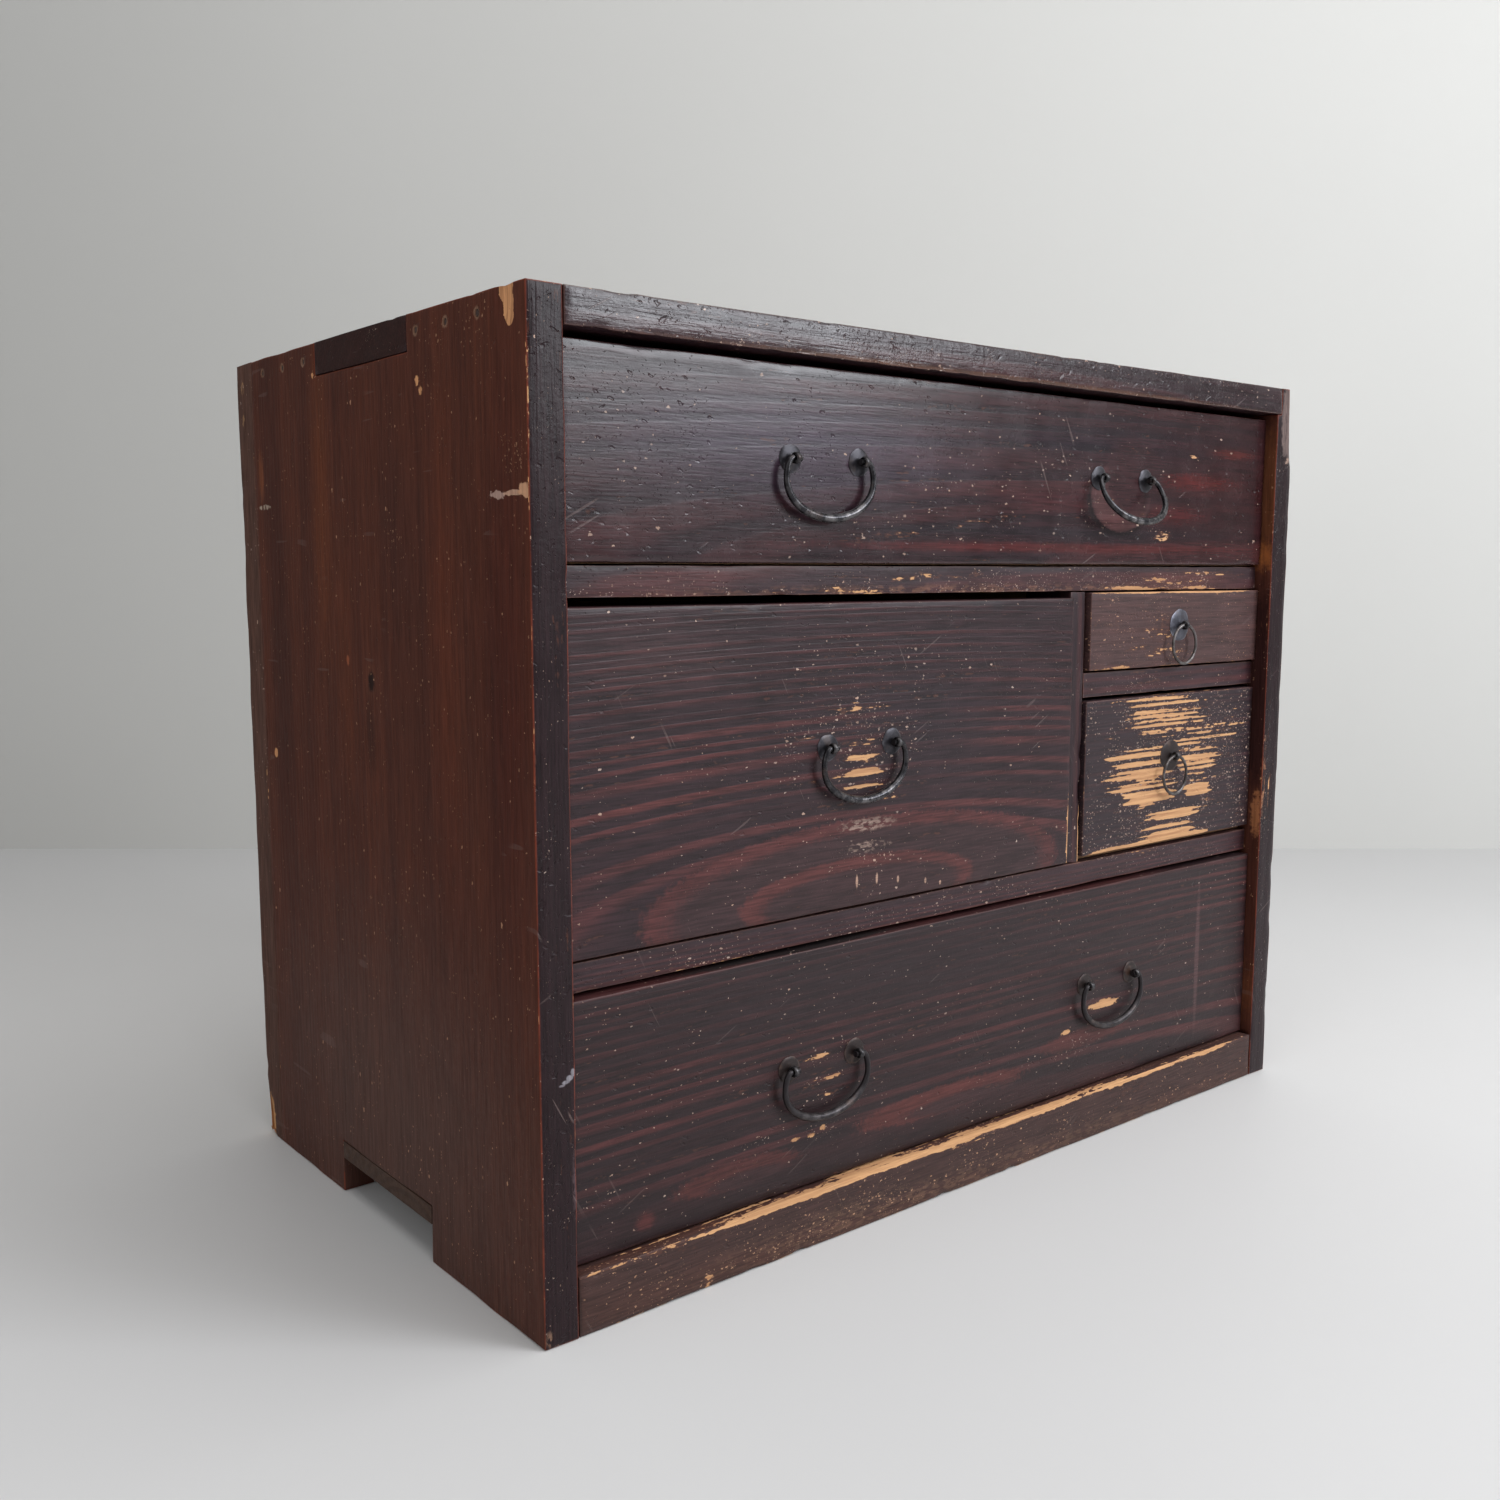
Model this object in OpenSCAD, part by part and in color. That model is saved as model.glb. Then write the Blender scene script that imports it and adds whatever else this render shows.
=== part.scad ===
// Small free-standing tansu chest with five drawers, iron bails and rings.
// Case coordinates: x = 0 at mid-width, y = 0 at the front edges of the side boards, z = 0 on the floor.
// The placed() module moves them to the part's origin, below the middle of the closed chest.

/* [Case] */
// Width over the two side boards
case_width = 650; // [590:1:720]
// Depth from the front edges of the sides to the back boards' rear face
case_depth = 370; // [330:1:420]
// Height from the floor to the top surface
case_height = 520; // [490:1:580]
// Thickness of each side board
side_thickness = 20.5; // [18:0.5:24]
// Thickness of the top board
top_thickness = 19; // [16:0.5:22]
// Thickness of the base board
base_thickness = 11; // [9:0.5:13]
// Depth of the narrow strip glued to each side board's rear edge
rear_strip_depth = 26; // [20:1:34]
// Thickness of the back boards
back_thickness = 9; // [7:0.5:11]
// How far the back boards lap over each rear strip
back_lap = 10; // [6:0.5:13]
// Height of the joint between the two back boards
back_joint_height = 262; // [200:1:330]

/* [Tongues and pegs] */
// Distance from the front plane to the through tongues of the top and base boards
tongue_front = 122; // [100:1:140]
// Width of the through tongues, front to back
tongue_width = 120; // [90:1:140]
// How far the top board's right end is let into the right side
top_housing = 5; // [3:0.5:8]
// Depth of the grooves that hold the shelf ends and the base board's ends
housing_depth = 5; // [3:0.5:8]
// Distance from the front plane to the first side peg
peg_front = 46; // [38:1:50]
// Spacing of the three pegs of one group on a side
peg_pitch = 32.5; // [28:0.5:34]
// Radius of the wooden pegs
peg_radius = 1.8; // [1.4:0.1:2.2]
// Length of the wooden pegs
peg_length = 40; // [34:1:48]
// Spacing of the pegs along the back boards
back_peg_spacing = 120; // [100:1:130]
// Radial clearance of a peg in its hole
peg_clearance = 0.05; // [0.02:0.01:0.1]

/* [Front rails] */
// Height of the base rail
base_rail_height = 33; // [28:1:40]
// Thickness of the base rail, front to back
base_rail_thickness = 20; // [16:1:26]
// Distance from the front plane to the faces of the upper rails and the post
rail_set_back = 12.5; // [11:0.5:15]
// Depth of the rails and the post, front to back
rail_depth = 38; // [30:1:46]
// Height of the rail under the top drawer
upper_rail_height = 16.5; // [14:0.5:20]
// Height of the rail over the bottom drawer
lower_rail_height = 16; // [14:0.5:20]
// Height of the rail between the two right-hand drawers
short_rail_height = 17; // [14:0.5:20]
// Width of the post and thickness of the partition behind it
divider_thickness = 15.5; // [12:0.5:20]
// Length of the stub tenons on the rails and the post
tenon_length = 8; // [5:0.5:10]
// Length of the post's stub tenons
post_tenon_length = 6; // [4:0.5:7]
// How far a stub tenon is set in from the faces of its rail
tenon_shoulder = 4; // [3:0.5:5]

/* [Shelves] */
// Thickness of the shelf boards between the drawers
shelf_thickness = 8; // [7:0.5:10]
// How far the shelf boards are let into the backs of the rails
rail_rebate = 5; // [3:0.5:8]
// Depth of the grooves that hold the partition
partition_groove = 3; // [2:0.5:4]

/* [Drawer bays] */
// Height of the opening for the bottom drawer
bottom_bay_height = 143; // [130:1:155]
// Height of the opening for the top drawer
top_bay_height = 110.5; // [100:0.5:122]
// Height of the opening for the small drawer
small_bay_height = 54; // [48:1:62]
// Width of the openings for the two right-hand drawers
right_bay_width = 201.5; // [180:0.5:230]

/* [Drawers] */
// Thickness of the drawer fronts
front_thickness = 18; // [16:0.5:22]
// Thickness of the drawer sides and backs
box_thickness = 9; // [8:0.5:11]
// Thickness of the drawer bottoms
bottom_thickness = 7; // [6:0.5:9]
// Thickness of the front lip that hides the ends of the drawer sides
front_lip = 8; // [6:0.5:10]
// How much lower the drawer sides are than the fronts
side_drop = 2; // [1:0.5:4]
// Gap on each side of a drawer
side_gap = 1; // [0.6:0.1:1.6]
// Gap under a drawer's bottom board
running_gap = 0.3; // [0.2:0.05:0.5]
// Gap between a closed drawer and the back boards
rear_gap = 1; // [0.5:0.1:2]
// Distance from the front plane to the face of the top drawer
top_set_back = 8.5; // [7:0.5:10]
// Distance from the front plane to the face of the big drawer
big_set_back = 8.5; // [7:0.5:10]
// Distance from the front plane to the face of the small drawer
small_set_back = 9.5; // [7:0.5:10]
// Distance from the front plane to the face of the medium drawer
medium_set_back = 10; // [7:0.5:10.5]
// Distance from the front plane to the face of the bottom drawer
bottom_set_back = 8; // [7:0.5:10]
// Gap over the top drawer's front
top_gap_over = 3.5; // [2:0.5:5]
// Gap over the big drawer's front
big_gap_over = 4; // [2:0.5:5]
// Gap over the small drawer's front
small_gap_over = 0.8; // [0.6:0.1:2]
// Gap over the medium drawer's front
medium_gap_over = 2; // [1:0.5:3]
// Gap over the bottom drawer's front
bottom_gap_over = 2.2; // [1:0.1:4]
// Gap under the top, small and bottom drawers' fronts
gap_under = 1; // [0.6:0.1:2]
// Gap under the big drawer's front
big_gap_under = 1.8; // [1:0.1:3]
// Gap under the medium drawer's front
medium_gap_under = 3.5; // [1:0.5:4]
// Extra gap on each side of the small drawer
small_extra_gap = 0.5; // [0:0.1:1]
// How far the small drawer stands to the right in its opening
small_shift = 1; // [0:0.1:1]

/* [Bails and rings] */
// Distance between the two split pins of a bail
post_spacing = 50.6; // [44:0.2:58]
// Distance between the two bails of a full-width drawer
bail_pair_spacing = 266; // [220:1:320]
// Gap between a split pin's eye and the plate behind it
eye_gap = 0.3; // [0.2:0.1:0.8]
// Radius of the bail's ends, which turn in the eyes
pintle_radius = 1.6; // [1.3:0.1:1.8]
// How far the bail's ends reach past the eyes
pintle_overhang = 2; // [1:0.5:3]
// Gap between an eye and the bail's shoulder beside it
shoulder_gap = 0.5; // [0.3:0.1:1]
// How much thicker the bail's wire is at its shoulders than at its ends
shoulder_step = 0.2; // [0.1:0.1:0.5]
// Radius of the bail's wire in the middle of its grip
grip_radius = 2.5; // [2:0.1:3]
// Half width of the bail along its wire's centre line
bail_half_width = 32; // [30:0.5:38]
// Drop of the bail's grip below its axis
bail_drop = 31.5; // [28:0.5:36]
// Drop of the bail's widest place below its axis
shoulder_drop = 11; // [8:0.5:13]
// Angle at which the top drawer's right-hand bail stands out from hanging
raised_angle = 27; // [0:1:60]
// Radius of the plates behind the bails' pins
bail_plate_radius = 8; // [7:0.5:10]
// Radius of the plates behind the rings' pins
ring_plate_radius = 11.5; // [10:0.5:13]
// Height of a plate's dome
plate_dome = 1.4; // [1:0.1:1.5]
// Thickness of a plate at its rim
plate_rim = 0.6; // [0.4:0.1:0.8]
// Radius of a ring along its wire's centre line
ring_radius = 13.5; // [11:0.5:16]
// Radius of a ring's wire
ring_wire_radius = 1.2; // [1:0.1:1.5]
// Radial clearance of a bail's end or a ring in its eye
eye_clearance = 0.25; // [0.15:0.05:0.35]
// Outer radius of a split pin's eye
eye_radius = 3.3; // [3.2:0.1:3.4]
// Thickness of a split pin's eye
eye_thickness = 3.2; // [3:0.1:4]
// Radius of a split pin's shank
shank_radius = 1.4; // [1.2:0.1:1.45]
// Clearance of a shank in its hole
shank_clearance = 0.1; // [0.05:0.05:0.2]
// Length of each leg clinched on the inner face of the drawer front
leg_length = 9; // [6:0.5:12]
// Radius of the clinched legs
leg_radius = 1.1; // [0.9:0.1:1.3]
// Gap between the clinched legs and the board
leg_gap = 0.1; // [0.05:0.05:0.3]
// Height of the top drawer's pins above the middle of its front
top_pull_rise = 3; // [0:0.5:8]
// Height of the big drawer's pins above the middle of its front
big_pull_rise = 6.5; // [0:0.5:12]
// Height of the small drawer's pin above the middle of its front
small_pull_rise = 2.5; // [0:0.5:5]
// Height of the medium drawer's pin above the middle of its front
medium_pull_rise = 9; // [0:0.5:14]
// Height of the bottom drawer's pins above the middle of its front
bottom_pull_rise = 3; // [0:0.5:8]
// Distance of the big drawer's bail to the right of the middle of its front
big_pull_shift = 4; // [0:0.5:8]
// Distance of the medium drawer's ring to the left of the middle of its front
medium_pull_shift = 4; // [0:0.5:8]

/* [Wear] */
// Width of the splinter lost from the right side's front arris
splinter_width = 6; // [3:0.5:8]
// Length of that splinter below the top
splinter_length = 58; // [30:1:80]

/* [Hidden] */
$fn = 48;
cut = 1;
half_width = case_width / 2;
inner_half = half_width - side_thickness;
side_depth = case_depth - rear_strip_depth;
back_face = case_depth - back_thickness;
rail_back = rail_set_back + rail_depth;
tongue_y = [tongue_front, tongue_front + tongue_width];

// Levels from the floor up
base_low = base_rail_height - base_thickness;
lower_rail_low = base_rail_height + bottom_bay_height;
lower_rail_top = lower_rail_low + lower_rail_height;
top_low = case_height - top_thickness;
upper_rail_top = top_low - top_bay_height;
upper_rail_low = upper_rail_top - upper_rail_height;
short_rail_top = upper_rail_low - small_bay_height;
short_rail_low = short_rail_top - short_rail_height;

// The post and the partition
post_right = inner_half - right_bay_width;
post_left = post_right - divider_thickness;

// Drawers, in the order top, big, small, medium, bottom
TOP = 0;
BIG = 1;
SMALL = 2;
MEDIUM = 3;
BOTTOM = 4;
bay_x = [
    [-inner_half, inner_half],
    [-inner_half, post_left],
    [post_right, inner_half],
    [post_right, inner_half],
    [-inner_half, inner_half]
];
bay_z = [
    [upper_rail_top, top_low],
    [lower_rail_top, upper_rail_low],
    [short_rail_top, upper_rail_low],
    [lower_rail_top, short_rail_low],
    [base_rail_height, lower_rail_low]
];
set_back = [top_set_back, big_set_back, small_set_back, medium_set_back, bottom_set_back];
gap_over = [top_gap_over, big_gap_over, small_gap_over, medium_gap_over, bottom_gap_over];
under = [gap_under, big_gap_under, gap_under, medium_gap_under, gap_under];
extra_gap = [0, 0, small_extra_gap, 0, 0];
shift = [0, 0, small_shift, 0, 0];
pull_rise = [top_pull_rise, big_pull_rise, small_pull_rise, medium_pull_rise, bottom_pull_rise];

function drawer_x(k) = [
    bay_x[k][0] + side_gap + extra_gap[k] + shift[k],
    bay_x[k][1] - side_gap - extra_gap[k] + shift[k]
];
function front_z(k) = [bay_z[k][0] + under[k], bay_z[k][1] - gap_over[k]];
function bottom_z(k) = [bay_z[k][0] + running_gap, bay_z[k][0] + running_gap + bottom_thickness];
function side_z(k) = [bottom_z(k)[1], front_z(k)[1] - side_drop];
function middle(range) = (range[0] + range[1]) / 2;
function box_y(k) = [set_back[k] + front_lip, back_face - rear_gap];
function third(range) = [
    range[0] + (range[1] - range[0]) / 3,
    range[1] - (range[1] - range[0]) / 3
];

// Pulls: one or two bails on the wide drawers, one ring on the narrow ones
function has_ring(k) = k == SMALL || k == MEDIUM;
function pull_z(k) = middle(front_z(k)) + pull_rise[k];
function pull_xs(k) =
    k == BIG ? [middle(drawer_x(k)) + big_pull_shift] :
    k == SMALL ? [middle(drawer_x(k))] :
    k == MEDIUM ? [middle(drawer_x(k)) - medium_pull_shift] :
    [-bail_pair_spacing / 2, bail_pair_spacing / 2];
function pin_xs(k) = has_ring(k) ? pull_xs(k) :
    [for (x = pull_xs(k)) for (s = [-1, 1]) x + s * post_spacing / 2];
function axis_y(k) = set_back[k] - plate_dome - eye_gap - eye_radius;
function eye_hole(k) = (has_ring(k) ? ring_wire_radius : pintle_radius) + eye_clearance;
function plate_radius(k) = has_ring(k) ? ring_plate_radius : bail_plate_radius;

// The bail's outline: a short shoulder from each eye, then half of a wide ellipse
pintle_reach = (post_spacing + eye_thickness) / 2 + shoulder_gap;
pintle_inner = (post_spacing - eye_thickness) / 2 - pintle_overhang;
wire_end_radius = pintle_radius + shoulder_step;
shoulder_steps = 5;
grip_steps = 24;
wire_sides = 12;
function shoulder_point(s) = [
    pintle_reach + (bail_half_width - pintle_reach) * sin(s),
    -shoulder_drop * (1 - cos(s))
];
function shoulder_heading(s) = [
    (bail_half_width - pintle_reach) * cos(s),
    -shoulder_drop * sin(s)
];
function grip_point(s) = [
    bail_half_width * cos(s),
    -shoulder_drop - (bail_drop - shoulder_drop) * sin(s)
];
function grip_heading(s) = [
    -bail_half_width * sin(s),
    -(bail_drop - shoulder_drop) * cos(s)
];
function mirrored(p) = [-p[0], p[1]];
right_shoulder = [for (i = [0:shoulder_steps - 1]) 90 * i / shoulder_steps];
grip_angles = [for (i = [0:grip_steps]) 180 * i / grip_steps];
wire_points = concat(
    [for (s = right_shoulder) shoulder_point(s)],
    [for (s = grip_angles) grip_point(s)],
    [for (i = [shoulder_steps - 1:-1:0]) mirrored(shoulder_point(right_shoulder[i]))]
);
wire_headings = concat(
    [for (s = right_shoulder) shoulder_heading(s)],
    [for (s = grip_angles) grip_heading(s)],
    [for (i = [shoulder_steps - 1:-1:0]) -mirrored(shoulder_heading(right_shoulder[i]))]
);
function wire_radius(p) = wire_end_radius
    + (grip_radius - wire_end_radius) * max(0, -p[1] - shoulder_drop) / (bail_drop - shoulder_drop);

// The frame's origin lies below the middle of the closed chest, with the raised bail counted
bail_reach = bail_drop * sin(raised_angle) + grip_radius - axis_y(TOP);
frame_y = (case_depth - max(0, bail_reach)) / 2;

LACQUER = [0.25, 0.20, 0.21];
SIDE_LACQUER = [0.29, 0.17, 0.13];
BARE_WOOD = [0.68, 0.52, 0.36];
IRON = [0.10, 0.10, 0.11];
WORN_IRON = [0.45, 0.43, 0.42];

// Moves a piece from case coordinates to the part's own frame
module placed() {
    translate([0, -frame_y, 0]) children();
}

// A board or a cut given by its ranges along x, y and z
module block(x, y, z) {
    translate([x[0], y[0], z[0]])
        cube([x[1] - x[0], y[1] - y[0], z[1] - z[0]]);
}

// A round peg or hole along y, from one depth to another
module round_along_y(x, y, z, radius) {
    translate([x, y[0], z])
        rotate([-90, 0, 0])
            cylinder(h = y[1] - y[0], r = radius);
}

// A round peg or hole along x
module round_along_x(x, y, z, radius) {
    translate([x[0], y, z])
        rotate([0, 90, 0])
            cylinder(h = x[1] - x[0], r = radius);
}

// Wooden pegs, and the holes for them, which are a little wider
module side_pegs(extra) {
    for (first = [peg_front, case_depth - peg_front - 2 * peg_pitch])
        for (i = [0:2])
            round_along_x([half_width - peg_length, half_width], first + i * peg_pitch,
                case_height - top_thickness / 2, peg_radius + extra);
}

module back_pegs(extra) {
    rows = [
        case_height - top_thickness / 2,
        upper_rail_top - shelf_thickness / 2,
        lower_rail_top - shelf_thickness / 2,
        base_rail_height - base_thickness / 2
    ];
    for (z = rows)
        for (i = [-2:2])
            round_along_y(i * back_peg_spacing, [case_depth - peg_length, case_depth], z,
                peg_radius + extra);
}

module all_pegs(extra) {
    side_pegs(extra);
    mirror([1, 0, 0]) side_pegs(extra);
    back_pegs(extra);
}

// A rail's stub tenon and the mortise for it are the same block
module rail_tenon(x, y, z) {
    block(x, [y[0] + tenon_shoulder, y[1] - tenon_shoulder],
        [z[0] + tenon_shoulder, z[1] - tenon_shoulder]);
}

module rail_tenons_right(reach) {
    x = [inner_half - cut, inner_half + reach];
    for (low = [[upper_rail_low, upper_rail_top], [lower_rail_low, lower_rail_top]])
        rail_tenon(x, [rail_set_back, rail_back], low);
    rail_tenon(x, [0, base_rail_thickness], [0, base_rail_height]);
}

// The cuts that both side boards share, drawn for the right-hand one
module side_cuts() {
    x_through = [inner_half - cut, half_width + cut];
    x_housing = [inner_half - cut, inner_half + housing_depth];
    y_housing = [rail_back, side_depth + cut];
    block(x_through, tongue_y, [top_low, case_height + cut]);
    block(x_through, tongue_y, [-cut, base_rail_height]);
    block(x_housing, y_housing, [upper_rail_top - shelf_thickness, upper_rail_top]);
    block(x_housing, y_housing, [lower_rail_top - shelf_thickness, lower_rail_top]);
    block(x_housing, [base_rail_thickness, side_depth + cut], [base_low, base_rail_height]);
    rail_tenons_right(tenon_length);
    side_pegs(peg_clearance);
}

module side_blank() {
    block([inner_half, half_width], [0, side_depth], [0, case_height]);
}

module left_side() {
    color(SIDE_LACQUER) placed() mirror([1, 0, 0])
        difference() {
            side_blank();
            side_cuts();
        }
}

// The splinter lost from the outer front arris: a slanting face that runs out downwards
module splinter() {
    depth = splinter_width / sqrt(2);
    translate([half_width, 0, case_height - splinter_length])
        rotate([0, 0, -45])
            rotate([0, -atan(depth / splinter_length), 0])
                translate([0, -side_thickness, -cut])
                    cube([2 * side_thickness, 2 * side_thickness, case_height]);
}

module right_side() {
    color(SIDE_LACQUER) placed()
        difference() {
            side_blank();
            side_cuts();
            block([inner_half - cut, inner_half + top_housing], [-cut, side_depth + cut],
                [top_low, case_height + cut]);
            block([inner_half - cut, inner_half + housing_depth], [rail_back, side_depth + cut],
                [short_rail_top - shelf_thickness, short_rail_top]);
            rail_tenon([inner_half - cut, inner_half + tenon_length], [rail_set_back, rail_back],
                [short_rail_low, short_rail_top]);
            splinter();
        }
}

module rear_strip() {
    difference() {
        block([inner_half, half_width], [side_depth, case_depth], [0, case_height]);
        block([inner_half - cut, inner_half + back_lap], [back_face, case_depth + cut],
            [base_low, case_height + cut]);
    }
}

module left_rear_strip() {
    color(SIDE_LACQUER) placed() mirror([1, 0, 0]) rear_strip();
}

module right_rear_strip() {
    color(SIDE_LACQUER) placed() rear_strip();
}

module top_board() {
    z = [top_low, case_height];
    color(SIDE_LACQUER) placed()
        difference() {
            union() {
                block([-inner_half, inner_half], [0, back_face], z);
                block([-half_width, half_width], tongue_y, z);
                block([0, inner_half + top_housing], [0, side_depth], z);
            }
            all_pegs(peg_clearance);
        }
}

module base_board() {
    z = [base_low, base_rail_height];
    lip = inner_half + housing_depth;
    color(BARE_WOOD) placed()
        difference() {
            union() {
                block([-inner_half, inner_half], [base_rail_thickness - rail_rebate, back_face], z);
                block([-lip, lip], [base_rail_thickness, side_depth], z);
                block([-half_width, half_width], tongue_y, z);
            }
            back_pegs(peg_clearance);
        }
}

module base_rail() {
    color(LACQUER) placed()
        difference() {
            union() {
                block([-inner_half, inner_half], [0, base_rail_thickness], [0, base_rail_height]);
                for (m = [0, 1])
                    mirror([m, 0, 0])
                        rail_tenon([0, inner_half + tenon_length], [0, base_rail_thickness],
                            [0, base_rail_height]);
            }
            block([-inner_half - cut, inner_half + cut],
                [base_rail_thickness - rail_rebate, base_rail_thickness + cut],
                [base_low, base_rail_height + cut]);
        }
}

// A rail between x[0] and x[1] with its tenons and the rebate for a shelf's front edge
module rail(x, z) {
    y = [rail_set_back, rail_back];
    difference() {
        union() {
            block(x, y, z);
            rail_tenon([x[0] - tenon_length, x[1] + tenon_length], y, z);
        }
        block([x[0] - tenon_length - cut, x[1] + tenon_length + cut],
            [rail_back - rail_rebate, rail_back + cut],
            [z[1] - shelf_thickness, z[1] + cut]);
    }
}

// The post's tenons above and below it, and the mortises for them
module post_tenons() {
    block([post_left + tenon_shoulder, post_right - tenon_shoulder],
        [rail_set_back + tenon_shoulder, rail_back - rail_rebate - tenon_shoulder],
        [lower_rail_top - post_tenon_length, upper_rail_low + post_tenon_length]);
}

module upper_rail() {
    color(LACQUER) placed()
        difference() {
            rail([-inner_half, inner_half], [upper_rail_low, upper_rail_top]);
            post_tenons();
        }
}

module lower_rail() {
    color(LACQUER) placed()
        difference() {
            rail([-inner_half, inner_half], [lower_rail_low, lower_rail_top]);
            post_tenons();
        }
}

module short_rail() {
    color(LACQUER) placed()
        rail([post_right, inner_half], [short_rail_low, short_rail_top]);
}

module divider_post() {
    color(LACQUER) placed()
        difference() {
            union() {
                block([post_left, post_right], [rail_set_back, rail_back],
                    [lower_rail_top, upper_rail_low]);
                post_tenons();
            }
            rail_tenon([post_right - tenon_length, post_right + cut], [rail_set_back, rail_back],
                [short_rail_low, short_rail_top]);
        }
}

module partition_body() {
    block([post_left, post_right], [rail_back, back_face],
        [lower_rail_top - partition_groove, upper_rail_top - shelf_thickness + partition_groove]);
}

module partition() {
    color(BARE_WOOD) placed()
        difference() {
            partition_body();
            block([post_right - housing_depth, post_right + cut], [rail_back - cut, back_face + cut],
                [short_rail_top - shelf_thickness, short_rail_top]);
            back_pegs(peg_clearance);
        }
}

// A full-width shelf whose ends lie in grooves of the sides
module full_shelf(top) {
    z = [top - shelf_thickness, top];
    lip = inner_half + housing_depth;
    difference() {
        union() {
            block([-inner_half, inner_half], [rail_back - rail_rebate, back_face], z);
            block([-lip, lip], [rail_back, side_depth], z);
        }
        partition_body();
        back_pegs(peg_clearance);
    }
}

module upper_shelf() {
    color(BARE_WOOD) placed() full_shelf(upper_rail_top);
}

module lower_shelf() {
    color(BARE_WOOD) placed() full_shelf(lower_rail_top);
}

module small_shelf() {
    z = [short_rail_top - shelf_thickness, short_rail_top];
    color(BARE_WOOD) placed() {
        block([post_right, inner_half], [rail_back - rail_rebate, back_face], z);
        block([post_right - housing_depth, inner_half], [rail_back, back_face], z);
        block([post_right, inner_half + housing_depth], [rail_back, side_depth], z);
    }
}

module back_board(z) {
    difference() {
        block([-inner_half - back_lap, inner_half + back_lap], [back_face, case_depth], z);
        back_pegs(peg_clearance);
    }
}

module back_upper() {
    color(BARE_WOOD) placed() back_board([back_joint_height, case_height]);
}

module back_lower() {
    color(BARE_WOOD) placed() back_board([base_low, back_joint_height]);
}

module wooden_pegs() {
    color(BARE_WOOD) placed() all_pegs(0);
}

// Drawer pieces

module drawer_front(k) {
    x = drawer_x(k);
    z = front_z(k);
    y = [set_back[k], set_back[k] + front_thickness];
    y_behind = [set_back[k] + front_lip, set_back[k] + front_thickness + cut];
    color(LACQUER) placed()
        difference() {
            block(x, y, z);
            for (end = [[x[0] - cut, x[0] + box_thickness], [x[1] - box_thickness, x[1] + cut]])
                block(end, y_behind, [z[0] - cut, side_z(k)[1]]);
            block([x[0] - cut, x[1] + cut], y_behind, [z[0] - cut, bottom_z(k)[1]]);
            for (pin_x = pin_xs(k))
                round_along_y(pin_x, [y[0] - cut, y[1] + cut], pull_z(k),
                    shank_radius + shank_clearance);
        }
}

// The back's ends pass through the drawer's sides in the middle third of their height
module drawer_back(k) {
    x = drawer_x(k);
    y = [box_y(k)[1] - box_thickness, box_y(k)[1]];
    color(BARE_WOOD) placed() {
        block([x[0] + box_thickness, x[1] - box_thickness], y, side_z(k));
        block(x, y, third(side_z(k)));
    }
}

module drawer_side(k, x) {
    y = box_y(k);
    color(BARE_WOOD) placed()
        difference() {
            block(x, y, side_z(k));
            block([x[0] - cut, x[1] + cut], [y[1] - box_thickness, y[1] + cut], third(side_z(k)));
        }
}

module drawer_left(k) {
    drawer_side(k, [drawer_x(k)[0], drawer_x(k)[0] + box_thickness]);
}

module drawer_right(k) {
    drawer_side(k, [drawer_x(k)[1] - box_thickness, drawer_x(k)[1]]);
}

module drawer_bottom(k) {
    color(BARE_WOOD) placed()
        block(drawer_x(k), box_y(k), bottom_z(k));
}

// A domed plate with a hole for the split pin, its back on the drawer's face
module drawer_plates(k) {
    hole = shank_radius + shank_clearance;
    rise_steps = 4;
    outline = concat(
        [[hole, 0], [plate_radius(k), 0]],
        [for (i = [0:rise_steps])
            [
                plate_radius(k) - (plate_radius(k) - hole) * i / rise_steps,
                plate_rim + (plate_dome - plate_rim) * sin(90 * i / rise_steps)
            ]]
    );
    color(IRON) placed()
        for (x = pin_xs(k))
            translate([x, set_back[k], pull_z(k)])
                rotate([90, 0, 0])
                    rotate_extrude()
                        polygon(outline);
}

// A split pin: the eye in front, the shank through plate and board, two legs bent flat inside
module drawer_pins(k) {
    inner_y = set_back[k] + front_thickness + leg_radius + leg_gap;
    color(IRON) placed()
        for (x = pin_xs(k))
            translate([x, 0, pull_z(k)])
                difference() {
                    union() {
                        round_along_x([-eye_thickness / 2, eye_thickness / 2], axis_y(k), 0, eye_radius);
                        round_along_y(0, [axis_y(k), inner_y], 0, shank_radius);
                        translate([0, inner_y, -leg_length])
                            cylinder(h = 2 * leg_length, r = leg_radius);
                    }
                    round_along_x([-eye_thickness, eye_thickness], axis_y(k), 0, eye_hole(k));
                }
}

// Pulls

module wire() {
    count = len(wire_points);
    points = [
        for (i = [0:count - 1])
            let (p = wire_points[i], h = wire_headings[i] / norm(wire_headings[i]))
                for (j = [0:wire_sides - 1])
                    let (a = 360 * j / wire_sides, r = wire_radius(p))
                        [p[0] - h[1] * r * cos(a), r * sin(a), p[1] + h[0] * r * cos(a)]
    ];
    walls = [
        for (i = [0:count - 2])
            for (j = [0:wire_sides - 1])
                let (n = (j + 1) % wire_sides, a = i * wire_sides, b = (i + 1) * wire_sides)
                    each [[a + j, a + n, b + n], [a + j, b + n, b + j]]
    ];
    first_cap = [[for (j = [wire_sides - 1:-1:0]) j]];
    last_cap = [[for (j = [0:wire_sides - 1]) (count - 1) * wire_sides + j]];
    polyhedron(points = points, faces = concat(walls, first_cap, last_cap));
}

// A bail with its inward ends in the two eyes, turned out from hanging by an angle
module bail(k, x, angle) {
    color(IRON) placed()
        translate([x, axis_y(k), pull_z(k)])
            rotate([-angle, 0, 0]) {
                wire();
                for (m = [0, 1])
                    mirror([m, 0, 0])
                        round_along_x([pintle_inner, pintle_reach + cut], 0, 0, pintle_radius);
            }
}

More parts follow.
